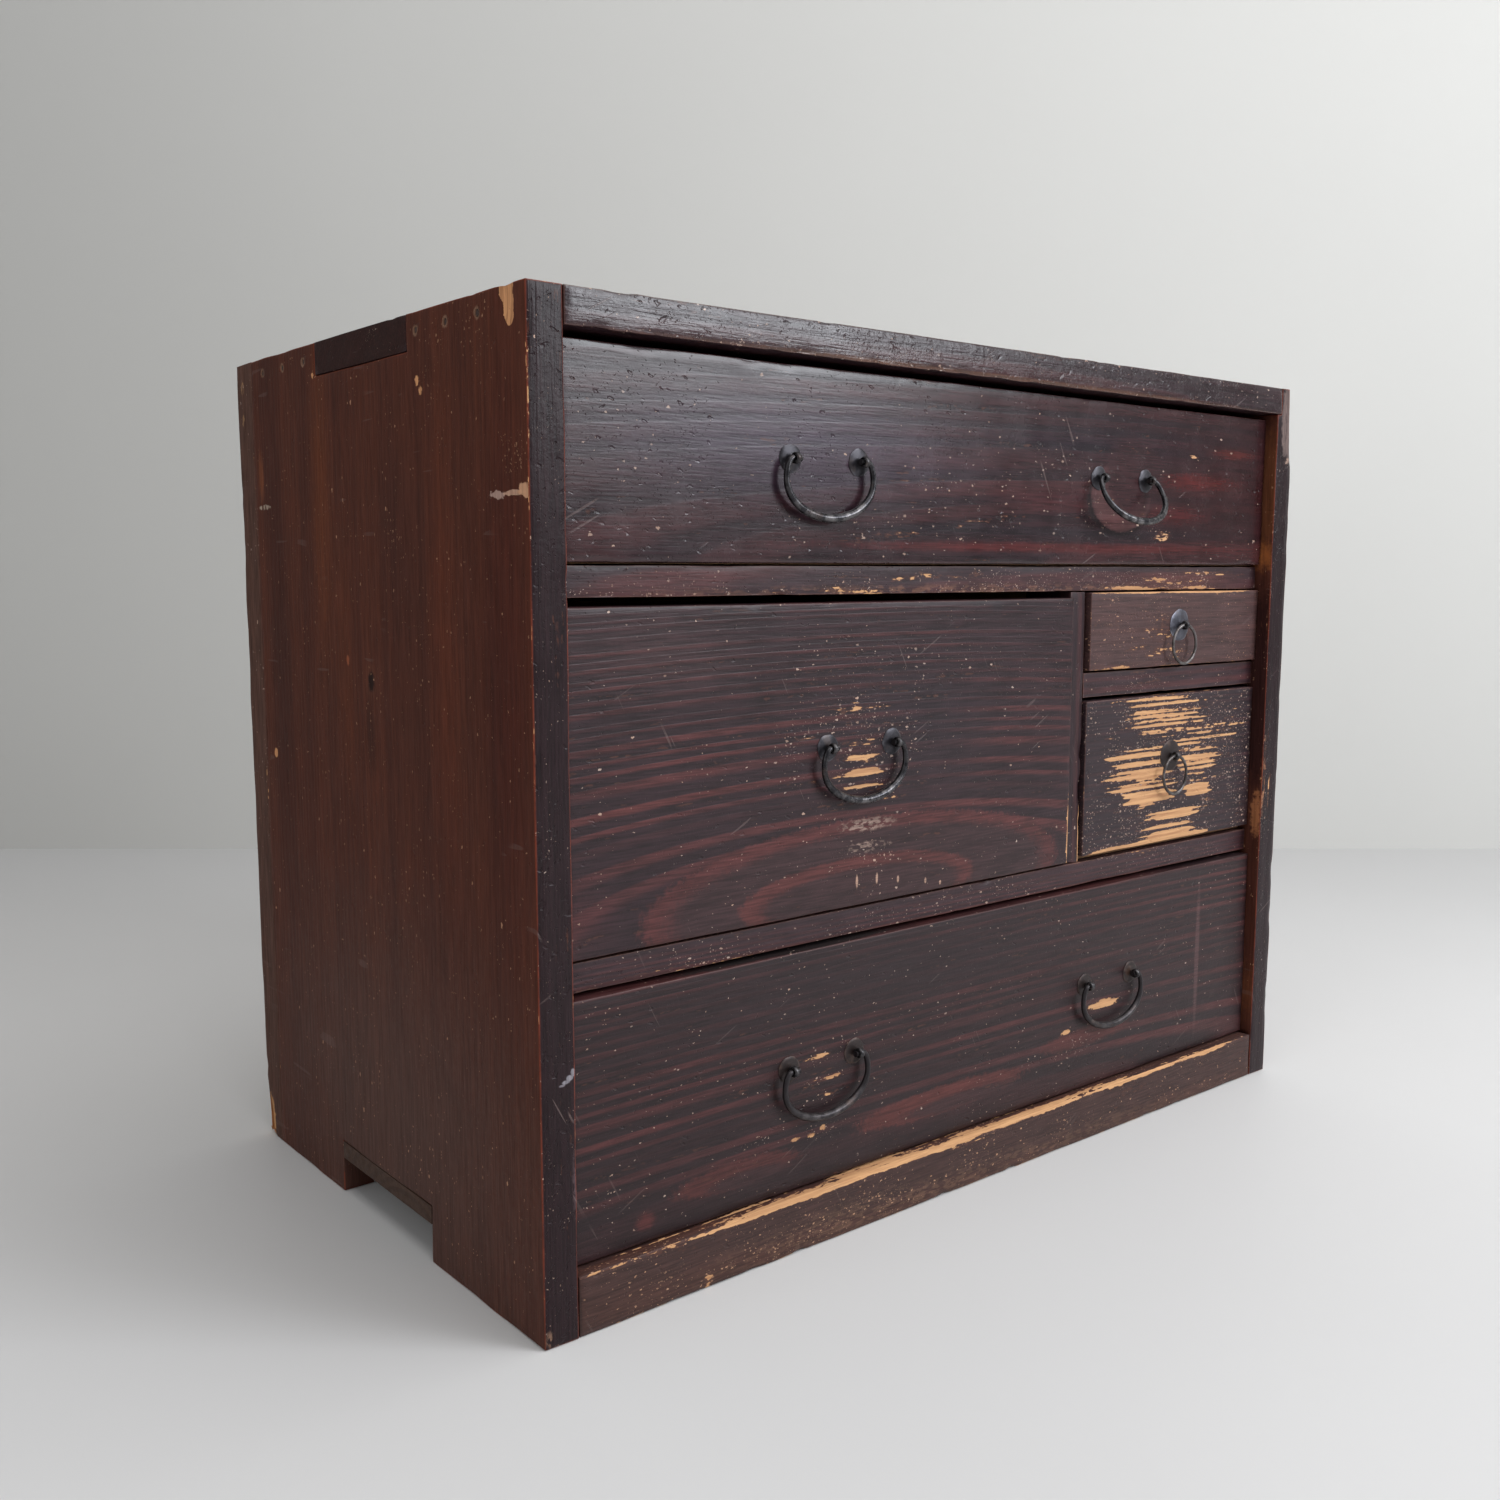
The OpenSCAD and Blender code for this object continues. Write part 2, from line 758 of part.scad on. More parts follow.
module ring(k) {
    color(WORN_IRON) placed()
        translate([pull_xs(k)[0], axis_y(k), pull_z(k) - ring_radius])
            rotate([90, 0, 0])
                rotate_extrude()
                    translate([ring_radius, 0])
                        circle(r = ring_wire_radius);
}

left_side();
right_side();
left_rear_strip();
right_rear_strip();
top_board();
base_board();
base_rail();
upper_rail();
lower_rail();
short_rail();
divider_post();
partition();
upper_shelf();
lower_shelf();
small_shelf();
back_upper();
back_lower();
wooden_pegs();
drawer_front(TOP);  // top_drawer_front
drawer_left(TOP);  // top_drawer_left
drawer_right(TOP);  // top_drawer_right
drawer_back(TOP);  // top_drawer_back
drawer_bottom(TOP);  // top_drawer_bottom
drawer_plates(TOP);  // top_drawer_plates
drawer_pins(TOP);  // top_drawer_pins
drawer_front(BIG);  // big_drawer_front
drawer_left(BIG);  // big_drawer_left
drawer_right(BIG);  // big_drawer_right
drawer_back(BIG);  // big_drawer_back
drawer_bottom(BIG);  // big_drawer_bottom
drawer_plates(BIG);  // big_drawer_plates
drawer_pins(BIG);  // big_drawer_pins
drawer_front(SMALL);  // small_drawer_front
drawer_left(SMALL);  // small_drawer_left
drawer_right(SMALL);  // small_drawer_right
drawer_back(SMALL);  // small_drawer_back
drawer_bottom(SMALL);  // small_drawer_bottom
drawer_plates(SMALL);  // small_drawer_plates
drawer_pins(SMALL);  // small_drawer_pins
drawer_front(MEDIUM);  // medium_drawer_front
drawer_left(MEDIUM);  // medium_drawer_left
drawer_right(MEDIUM);  // medium_drawer_right
drawer_back(MEDIUM);  // medium_drawer_back
drawer_bottom(MEDIUM);  // medium_drawer_bottom
drawer_plates(MEDIUM);  // medium_drawer_plates
drawer_pins(MEDIUM);  // medium_drawer_pins
drawer_front(BOTTOM);  // bottom_drawer_front
drawer_left(BOTTOM);  // bottom_drawer_left
drawer_right(BOTTOM);  // bottom_drawer_right
drawer_back(BOTTOM);  // bottom_drawer_back
drawer_bottom(BOTTOM);  // bottom_drawer_bottom
drawer_plates(BOTTOM);  // bottom_drawer_plates
drawer_pins(BOTTOM);  // bottom_drawer_pins
bail(TOP, pull_xs(TOP)[0], 0);  // top_left_bail
bail(TOP, pull_xs(TOP)[1], raised_angle);  // top_right_bail
bail(BIG, pull_xs(BIG)[0], 0);  // big_bail
bail(BOTTOM, pull_xs(BOTTOM)[0], 0);  // bottom_left_bail
bail(BOTTOM, pull_xs(BOTTOM)[1], 0);  // bottom_right_bail
ring(SMALL);  // small_ring
ring(MEDIUM);  // medium_ring
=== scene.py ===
"""Dresses a small worn tansu chest: lacquered boards, five drawers, iron bails and rings."""
import math

import bmesh
import bpy
import numpy as np
from bpy.props import FloatProperty, FloatVectorProperty, IntProperty, PointerProperty
from mathutils import Matrix, Vector


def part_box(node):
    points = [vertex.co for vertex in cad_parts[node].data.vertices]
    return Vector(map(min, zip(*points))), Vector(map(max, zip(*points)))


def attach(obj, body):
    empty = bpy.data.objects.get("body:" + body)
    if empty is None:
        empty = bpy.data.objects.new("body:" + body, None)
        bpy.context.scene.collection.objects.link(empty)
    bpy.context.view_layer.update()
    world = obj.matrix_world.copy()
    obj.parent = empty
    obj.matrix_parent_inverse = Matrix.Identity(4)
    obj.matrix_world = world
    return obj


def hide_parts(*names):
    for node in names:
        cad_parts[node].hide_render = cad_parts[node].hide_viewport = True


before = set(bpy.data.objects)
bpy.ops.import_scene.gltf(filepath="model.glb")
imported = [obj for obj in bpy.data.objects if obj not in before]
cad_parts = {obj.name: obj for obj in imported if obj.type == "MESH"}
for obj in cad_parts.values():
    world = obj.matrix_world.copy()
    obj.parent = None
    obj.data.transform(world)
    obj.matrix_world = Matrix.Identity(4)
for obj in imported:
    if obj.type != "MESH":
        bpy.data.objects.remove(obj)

bl_info = {
    "name": "Worn tansu chest",
    "version": (1, 0, 0),
    "blender": (4, 5, 0),
    "location": "3D View > Sidebar > Tansu",
    "description": "Boards, iron fittings and a plain stage for a small tansu chest",
    "category": "Object",
}

MM = 0.001
WELD = 1e-6
CREASE = math.radians(50)
BOARD_CREASE = math.radians(55)
X, Y = 0, 1
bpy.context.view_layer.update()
# The plane of the side boards' front edges, from which all depths below are given in millimetres
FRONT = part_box("left_side")[0].y
HALF_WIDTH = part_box("left_side")[0].x * -1000
DRAWERS = ("top", "big", "small", "medium", "bottom")
WITH_RING = ("small", "medium")
# Wooden pegs, in millimetres: three in a row from each of two depths in a side board
PEG_STARTS = (46.0, 259.0)
PEG_STEP = 32.5
SIDE_PEGS = tuple(start + n * PEG_STEP for start in PEG_STARTS for n in range(3))
SIDE_PEG_HEIGHT = 510.5
# Rows of pegs through the back boards: heights of the rows, first peg, step, count and depth
BACK_PEG_HEIGHTS = (510.5, 386.5, 188.0, 27.5)
BACK_PEG_START = -240
BACK_PEG_STEP = 120
BACK_PEG_COUNT = 5
BACK_PEG_DEPTH = 330
# How far back each drawer's face stands from the front plane
FACES = {k: (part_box(k + "_drawer_front")[0].y - FRONT) / MM for k in DRAWERS}


def place(x, y, z):
    """A point given in millimetres from mid-width, from the front plane and from the floor."""
    return Vector((x * MM, FRONT + y * MM, z * MM))


def srgb(red, green, blue):
    """A colour as a screen shows it, 0 to 255, in the linear values that a shader takes."""
    def linear(value):
        share = value / 255
        return share / 12.92 if share <= 0.04045 else ((share + 0.055) / 1.055) ** 2.4
    return (linear(red), linear(green), linear(blue), 1.0)


# Settings


class TansuWoodSettings(bpy.types.PropertyGroup):
    """Sizes and colours of the boards."""
    arris_round: FloatProperty(
        name="Arris rounding", description="Radius worn onto the visible arrises",
        default=0.8 * MM, min=0.1 * MM, max=3 * MM, unit="LENGTH")
    arris_loss: FloatProperty(
        name="Arris loss", description="Most wood lost along an arris by rubbing",
        default=0.7 * MM, min=0.0, max=3 * MM, unit="LENGTH")
    chip_depth: FloatProperty(
        name="Chip depth", description="Depth of the chips knocked out of an arris",
        default=1.6 * MM, min=0.0, max=4 * MM, unit="LENGTH")
    lacquer: FloatVectorProperty(
        name="Lacquer", description="Dark lacquer on the front", subtype="COLOR",
        default=srgb(40, 25, 29)[:3], min=0.0, max=1.0)
    lacquer_red: FloatVectorProperty(
        name="Lacquer over late wood", description="Reddish lacquer over the hard rings",
        subtype="COLOR", default=srgb(82, 42, 41)[:3], min=0.0, max=1.0)
    side_dark: FloatVectorProperty(
        name="Side, dark grain", description="Darker grain of the sides", subtype="COLOR",
        default=srgb(72, 40, 32)[:3], min=0.0, max=1.0)
    side_red: FloatVectorProperty(
        name="Side, red grain", description="Red-brown grain of the sides", subtype="COLOR",
        default=srgb(92, 50, 36)[:3], min=0.0, max=1.0)
    bare: FloatVectorProperty(
        name="Bare wood", description="Wood where the lacquer is gone", subtype="COLOR",
        default=srgb(204, 157, 112)[:3], min=0.0, max=1.0)
    bare_dark: FloatVectorProperty(
        name="Bare wood, dark grain", description="Dark grain of the bare wood",
        subtype="COLOR", default=srgb(148, 102, 72)[:3], min=0.0, max=1.0)


class TansuIronSettings(bpy.types.PropertyGroup):
    """Sizes and colours of the fittings."""
    iron: FloatVectorProperty(
        name="Black iron", description="Blackened iron of bails, pins and plates",
        subtype="COLOR", default=srgb(44, 43, 46)[:3], min=0.0, max=1.0)
    rubbed: FloatVectorProperty(
        name="Rubbed iron", description="Iron where hands have rubbed it", subtype="COLOR",
        default=srgb(146, 142, 142)[:3], min=0.0, max=1.0)
    hammer: FloatProperty(
        name="Hammer marks", description="Depth of the marks left on the wire by forging",
        default=0.14 * MM, min=0.0, max=0.5 * MM, unit="LENGTH")
    wire_sides: IntProperty(
        name="Wire sides", description="Points round a bail's wire", default=20, min=8, max=48)


class TansuStageSettings(bpy.types.PropertyGroup):
    """Floor, wall, lamps and camera."""
    floor: FloatVectorProperty(
        name="Floor", description="Colour of the floor", subtype="COLOR",
        default=srgb(207, 206, 205)[:3], min=0.0, max=1.0)
    wall: FloatVectorProperty(
        name="Wall", description="Colour of the wall", subtype="COLOR",
        default=srgb(203, 202, 198)[:3], min=0.0, max=1.0)
    lens: FloatProperty(
        name="Lens", description="Focal length on a sensor 36 mm wide", default=34.43,
        min=10, max=200)


# Shader nodes


class Graph:
    """Short ways of adding and linking nodes in one node tree."""

    def __init__(self, tree):
        self.tree = tree

    def node(self, kind, inputs=None, **settings):
        made = self.tree.nodes.new(kind)
        for name, value in settings.items():
            setattr(made, name, value)
        for key, value in (inputs or {}).items():
            self.feed(made.inputs[key], value)
        return made

    def feed(self, socket, value):
        if isinstance(value, bpy.types.NodeSocket):
            self.tree.links.new(value, socket)
        elif value is not None:
            socket.default_value = value

    def math(self, operation, a, b=None, c=None, clamp=False):
        made = self.node("ShaderNodeMath", operation=operation, use_clamp=clamp)
        for socket, value in zip(made.inputs, (a, b, c)):
            self.feed(socket, value)
        return made.outputs[0]

    def vector(self, operation, a, b=None, scale=None):
        made = self.node("ShaderNodeVectorMath", operation=operation)
        self.feed(made.inputs[0], a)
        self.feed(made.inputs[1], b)
        if operation == "SCALE":
            self.feed(made.inputs["Scale"], scale)
        return made.outputs["Value" if operation in ("LENGTH", "DOT_PRODUCT") else "Vector"]

    def mapped(self, vector, location=(0, 0, 0), scale=(1, 1, 1), turn=(0, 0, 0)):
        made = self.node("ShaderNodeMapping", {
            "Vector": vector, "Location": location, "Rotation": turn, "Scale": scale})
        return made.outputs[0]

    def noise(self, vector, scale, detail=2.0, roughness=0.5):
        made = self.node("ShaderNodeTexNoise", {
            "Vector": vector, "Scale": scale, "Detail": detail, "Roughness": roughness})
        return made.outputs[0]

    def between(self, value, low, high, to_low=0.0, to_high=1.0):
        """Turns low..high smoothly into to_low..to_high."""
        made = self.node("ShaderNodeMapRange", interpolation_type="SMOOTHSTEP")
        for socket, number in zip(made.inputs, (value, low, high, to_low, to_high)):
            self.feed(socket, number)
        return made.outputs[0]

    def blend(self, share, a, b, mode="MIX"):
        """Colour a, or b where share is 1."""
        made = self.node("ShaderNodeMix", data_type="RGBA", blend_type=mode)
        for key, value in ((0, share), (6, a), (7, b)):
            self.feed(made.inputs[key], value)
        return made.outputs[2]

    def weighed(self, pairs, start=0.0):
        """start plus each value times its weight."""
        total = start
        for value, weight in pairs:
            total = self.math("MULTIPLY_ADD", value, weight, total)
        return total

    def shaded(self, colour, value):
        """A colour made darker or lighter by one value."""
        grey = self.node("ShaderNodeCombineColor", {"Red": value, "Green": value, "Blue": value})
        return self.blend(1.0, colour, grey.outputs[0], "MULTIPLY")

    def bump(self, shader, height, strength, distance):
        """Feeds a height to a shader's normal. distance is in millimetres."""
        made = self.node("ShaderNodeBump", {
            "Height": height, "Strength": strength, "Distance": distance * MM})
        self.feed(shader.inputs["Normal"], made.outputs[0])

    def group(self, tree, **inputs):
        made = self.node("ShaderNodeGroup", node_tree=tree)
        for name, value in inputs.items():
            self.feed(made.inputs[name.replace("_", " ").capitalize()], value)
        return made.outputs


def shader_group(name, inputs, outputs):
    """An empty shader group: inputs are (name, kind, default), outputs are names of values."""
    tree = bpy.data.node_groups.new(name, "ShaderNodeTree")
    for label, kind, default in inputs:
        socket = tree.interface.new_socket(label, in_out="INPUT", socket_type=kind)
        if default is not None:
            socket.default_value = default
    for label in outputs:
        tree.interface.new_socket(label, in_out="OUTPUT", socket_type="NodeSocketFloat")
    graph = Graph(tree)
    return graph, graph.node("NodeGroupInput").outputs, graph.node("NodeGroupOutput").inputs


VECTOR, VALUE = "NodeSocketVector", "NodeSocketFloat"


def growth_rings_group():
    """Rings round a pith line: X runs along the grain, and the origin lies on the pith.
    They are Ring width wide 70 mm from the pith, and Closing makes the outer ones
    narrower."""
    g, given, out = shader_group("Growth rings", [
        ("Vector", VECTOR, None), ("Ring width", VALUE, 0.009), ("Closing", VALUE, 0.4),
        ("Late wood", VALUE, 0.35), ("Wander", VALUE, 0.006)], ["Rings", "Tone"])
    bend = g.node("ShaderNodeTexNoise", {
        "Vector": given["Vector"], "Scale": 9.0, "Detail": 2.0, "Roughness": 0.45})
    offset = g.vector("SUBTRACT", bend.outputs[1], (0.5, 0.5, 0.5))
    offset = g.vector("SCALE", offset, scale=given["Wander"])
    radius = g.vector("LENGTH", g.vector("ADD", given["Vector"], offset))
    reach = 70 * MM
    power = g.math("ADD", given["Closing"], 1.0)
    count = g.math("POWER", g.math("DIVIDE", radius, reach), power)
    count = g.math("MULTIPLY", count, g.math("DIVIDE", reach, g.math(
        "MULTIPLY", given["Ring width"], power)))
    # Some years are wider than others
    count = g.math("ADD", count, g.math("MULTIPLY", g.noise(
        g.node("ShaderNodeCombineXYZ", {"X": count}).outputs[0], 0.31, 1.0), 2.2))
    phase = g.math("FRACT", count)
    late = g.math("SUBTRACT", 1.0, given["Late wood"])
    rise = g.between(phase, g.math("SUBTRACT", late, 0.28), late)
    fall = g.between(phase, 0.90, 1.0, 1.0, 0.0)
    g.feed(out["Rings"], g.math("MULTIPLY", rise, fall))
    g.feed(out["Tone"], g.node("ShaderNodeTexWhiteNoise", {
        "W": g.math("FLOOR", count)}, noise_dimensions="1D").outputs[0])
    return g.tree


def fibres_group():
    """Lines along the grain, which runs on X: fine fibres, broader streaks and short blobs."""
    g, given, out = shader_group("Fibres", [("Vector", VECTOR, None)],
                                 ["Fibre", "Streak", "Blob"])
    for label, along, scale, detail in (
            ("Fibre", 0.055, 850.0, 3.0), ("Streak", 0.09, 230.0, 2.0), ("Blob", 0.38, 460.0, 2.0)):
        fine = g.mapped(given["Vector"], scale=(along, 1, 1))
        g.feed(out[label], g.between(g.noise(fine, scale, detail, 0.55), 0.30, 0.70))
    return g.tree


def worn_film_group():
    """Where the lacquer is gone: on rubbed places along the grain, and on the arrises."""
    g, given, out = shader_group("Worn film", [
        ("Vector", VECTOR, None), ("Rings", VALUE, 0.0), ("Streak", VALUE, 0.5),
        ("Blob", VALUE, 0.5), ("Fibre", VALUE, 0.5), ("Rub", VALUE, 0.0),
        ("Arris", VALUE, 0.0), ("Edge wear", VALUE, 0.5), ("Follow rings", VALUE, 0.35)],
        ["Bare", "Thin", "Line"])
    grip = g.weighed(((given["Rings"], given["Follow rings"]), (given["Streak"], 0.55),
                      (given["Blob"], 0.32), (given["Fibre"], 0.13)))
    over = g.math("SUBTRACT", g.math("MULTIPLY", given["Rub"], 1.25), grip)
    patchy = g.between(g.noise(given["Vector"], 60.0, 4.0, 0.65), 0.32, 0.68)
    deep = g.between(given["Arris"], 0.78, 0.98)
    chance = g.math("MULTIPLY", g.math("MULTIPLY", deep, patchy), given["Edge wear"])
    edge = g.math("SUBTRACT", g.math("MULTIPLY", chance, 1.6), g.math(
        "MULTIPLY_ADD", given["Blob"], 0.30, 0.72))
    over = g.math("MAXIMUM", over, edge)
    g.feed(out["Bare"], g.between(over, 0.0, 0.05))
    g.feed(out["Thin"], g.between(over, -0.20, 0.0))
    line = g.between(given["Arris"], 0.84, 0.97)
    g.feed(out["Line"], g.math("MULTIPLY", line, g.math("MULTIPLY_ADD", patchy, 0.6, 0.4)))
    return g.tree


def specks_group():
    """Small pale flecks where the film has jumped off, more of them where Amount is high.
    X runs along the grain, and the flecks are a little longer that way."""
    g, given, out = shader_group("Specks", [
        ("Vector", VECTOR, None), ("Scale", VALUE, 300.0), ("Amount", VALUE, 0.1)], ["Specks"])
    crowd = g.between(g.noise(given["Vector"], 30.0, 3.0, 0.6), 0.36, 0.66, 0.06)
    amount = g.math("MULTIPLY", given["Amount"], crowd)
    ragged = g.vector("ADD", given["Vector"], g.vector("SCALE", g.node(
        "ShaderNodeTexNoise", {"Vector": given["Vector"], "Scale": 900.0}).outputs[1],
        scale=0.0018))
    ragged = g.mapped(ragged, scale=(0.55, 1, 1))
    total = 0.0
    for times, largest in ((0.9, 0.17), (1.8, 0.22), (3.2, 0.28)):
        scale = g.math("MULTIPLY", given["Scale"], times)
        cells = g.node("ShaderNodeTexVoronoi", {"Vector": ragged, "Scale": scale})
        luck = g.node("ShaderNodeSeparateColor", {"Color": cells.outputs["Color"]})
        kept = g.math("LESS_THAN", luck.outputs[0], amount)
        size = g.math("MULTIPLY", g.math("POWER", luck.outputs[1], 2.0), largest)
        size = g.math("ADD", size, 0.05)
        inside = g.math("LESS_THAN", cells.outputs["Distance"], size)
        strength = g.math("MULTIPLY_ADD", luck.outputs[2], 0.6, 0.4)
        mark = g.math("MULTIPLY", g.math("MULTIPLY", kept, inside), strength)
        total = g.math("MAXIMUM", total, mark)
    g.feed(out["Specks"], total)
    return g.tree


def knocks_group():
    """Dents and knife-thin scratches on a face. Scratches lie across X and Z or Y and Z."""
    g, given, out = shader_group("Knocks", [
        ("Vector", VECTOR, None), ("Dents", VALUE, 0.3), ("Scratches", VALUE, 0.3)],
        ["Dents", "Scratches"])
    warped = g.vector("ADD", given["Vector"], g.vector("SCALE", g.node(
        "ShaderNodeTexNoise", {"Vector": given["Vector"], "Scale": 240.0}).outputs[1],
        scale=0.003))
    crowd = g.between(g.noise(given["Vector"], 13.0, 2.0), 0.34, 0.62)
    pits = 0.0
    for scale, largest, angle in ((110.0, 0.16, 0.5), (230.0, 0.22, -0.3), (420.0, 0.26, 0.9),
                                  (800.0, 0.30, -0.7)):
        long_one = g.mapped(g.mapped(warped, turn=(0, angle, 0)), scale=(0.42, 0.42, 1))
        cells = g.node("ShaderNodeTexVoronoi", {"Vector": long_one, "Scale": scale})
        luck = g.node("ShaderNodeSeparateColor", {"Color": cells.outputs["Color"]})
        kept = g.math("LESS_THAN", luck.outputs[0], g.math("MULTIPLY", given["Dents"], crowd))
        size = g.math("MULTIPLY_ADD", luck.outputs[1], largest, 0.05)
        hollow = g.between(cells.outputs["Distance"], g.math("MULTIPLY", size, 0.4), size,
                           1.0, 0.0)
        pits = g.math("MAXIMUM", pits, g.math("MULTIPLY", kept, hollow))
    g.feed(out["Dents"], pits)
    total = 0.0
    for angle, seed in ((0.5, 1.7), (-1.1, 5.1)):
        along = g.mapped(given["Vector"], (seed, seed, 0), (1, 1, 1), (0, angle, 0))
        line = g.noise(g.mapped(along, scale=(0.05, 0.05, 1)), 430.0, 0.0)
        here = g.between(g.noise(along, 21.0, 1.0), 0.62, 0.68)
        sharp = g.between(line, 0.745, 0.765)
        total = g.math("MULTIPLY_ADD", sharp, here, total)
    g.feed(out["Scratches"], g.math("MULTIPLY", total, given["Scratches"]))
    return g.tree


def patch_group():
    """A spot: 1 inside an oval about Centre with half sizes Radii, 0 outside. Rough is a noise
    that makes its outline ragged."""
    g, given, out = shader_group("Ragged patch", [
        ("Vector", VECTOR, None), ("Centre", VECTOR, None), ("Radii", VECTOR, (1, 1, 1)),
        ("Rough", VALUE, 0.5), ("Ragged", VALUE, 0.5), ("Softness", VALUE, 0.1)], ["Patch"])
    away = g.vector("DIVIDE", g.vector("SUBTRACT", given["Vector"], given["Centre"]),
                    given["Radii"])
    rough = g.math("MULTIPLY", g.math("SUBTRACT", given["Rough"], 0.5), given["Ragged"])
    distance = g.math("ADD", rough, g.vector("LENGTH", away))
    low = g.math("SUBTRACT", 1.0, given["Softness"])
    g.feed(out["Patch"], g.between(distance, low, 1.0, 1.0, 0.0))
    return g.tree


GROUPS = {}


def shader_groups():
    """The effects that several finishes share, made once."""
    if not GROUPS:
        GROUPS.update(rings=growth_rings_group(), fibres=fibres_group(),
                      film=worn_film_group(), specks=specks_group(), knocks=knocks_group(),
                      patch=patch_group())
    return GROUPS


def new_material(name):
    """An empty material, ready for nodes: itself, its graph and its one shader."""
    material = bpy.data.materials.new(name)
    material.use_nodes = True
    graph = Graph(material.node_tree)
    graph.tree.nodes.clear()
    principled = graph.node("ShaderNodeBsdfPrincipled")
    output = graph.node("ShaderNodeOutputMaterial")
    graph.tree.links.new(principled.outputs[0], output.inputs["Surface"])
    return material, graph, principled


def object_point(g):
    """The place on the object, in metres."""
    return g.node("ShaderNodeTexCoord").outputs["Object"]


def attribute(g, name):
    """A value that the mesh carries at its points."""
    return g.node("ShaderNodeAttribute", attribute_name=name).outputs["Fac"]


# How a board lies in its log. turn brings the grain onto X, pith is a point of the pith line in
# millimetres (place's coordinates), taper is how fast the rings close along the grain.
ALONG_X = (0, 0, 0)
ALONG_Z = (0, math.pi / 2, 0)
ALONG_Y = (0, 0, math.pi / 2)


def figure_of(g, point, turn, pith, taper, ring, closing, late_wood, wander):
    """The wood's figure at a point: its rings and their tone, its fibres, streaks and blobs."""
    groups = shader_groups()
    turned = g.mapped(g.vector("SUBTRACT", point, tuple(place(*pith))), turn=turn)
    log = g.mapped(turned, scale=(taper, 1, 1))
    rings = g.group(groups["rings"], vector=log, ring_width=ring * MM, closing=closing,
                    late_wood=late_wood, wander=wander * MM)
    fibres = g.group(groups["fibres"], vector=turned)
    return (rings["Rings"], rings["Tone"], fibres["Fibre"], fibres["Streak"], fibres["Blob"],
            turned)


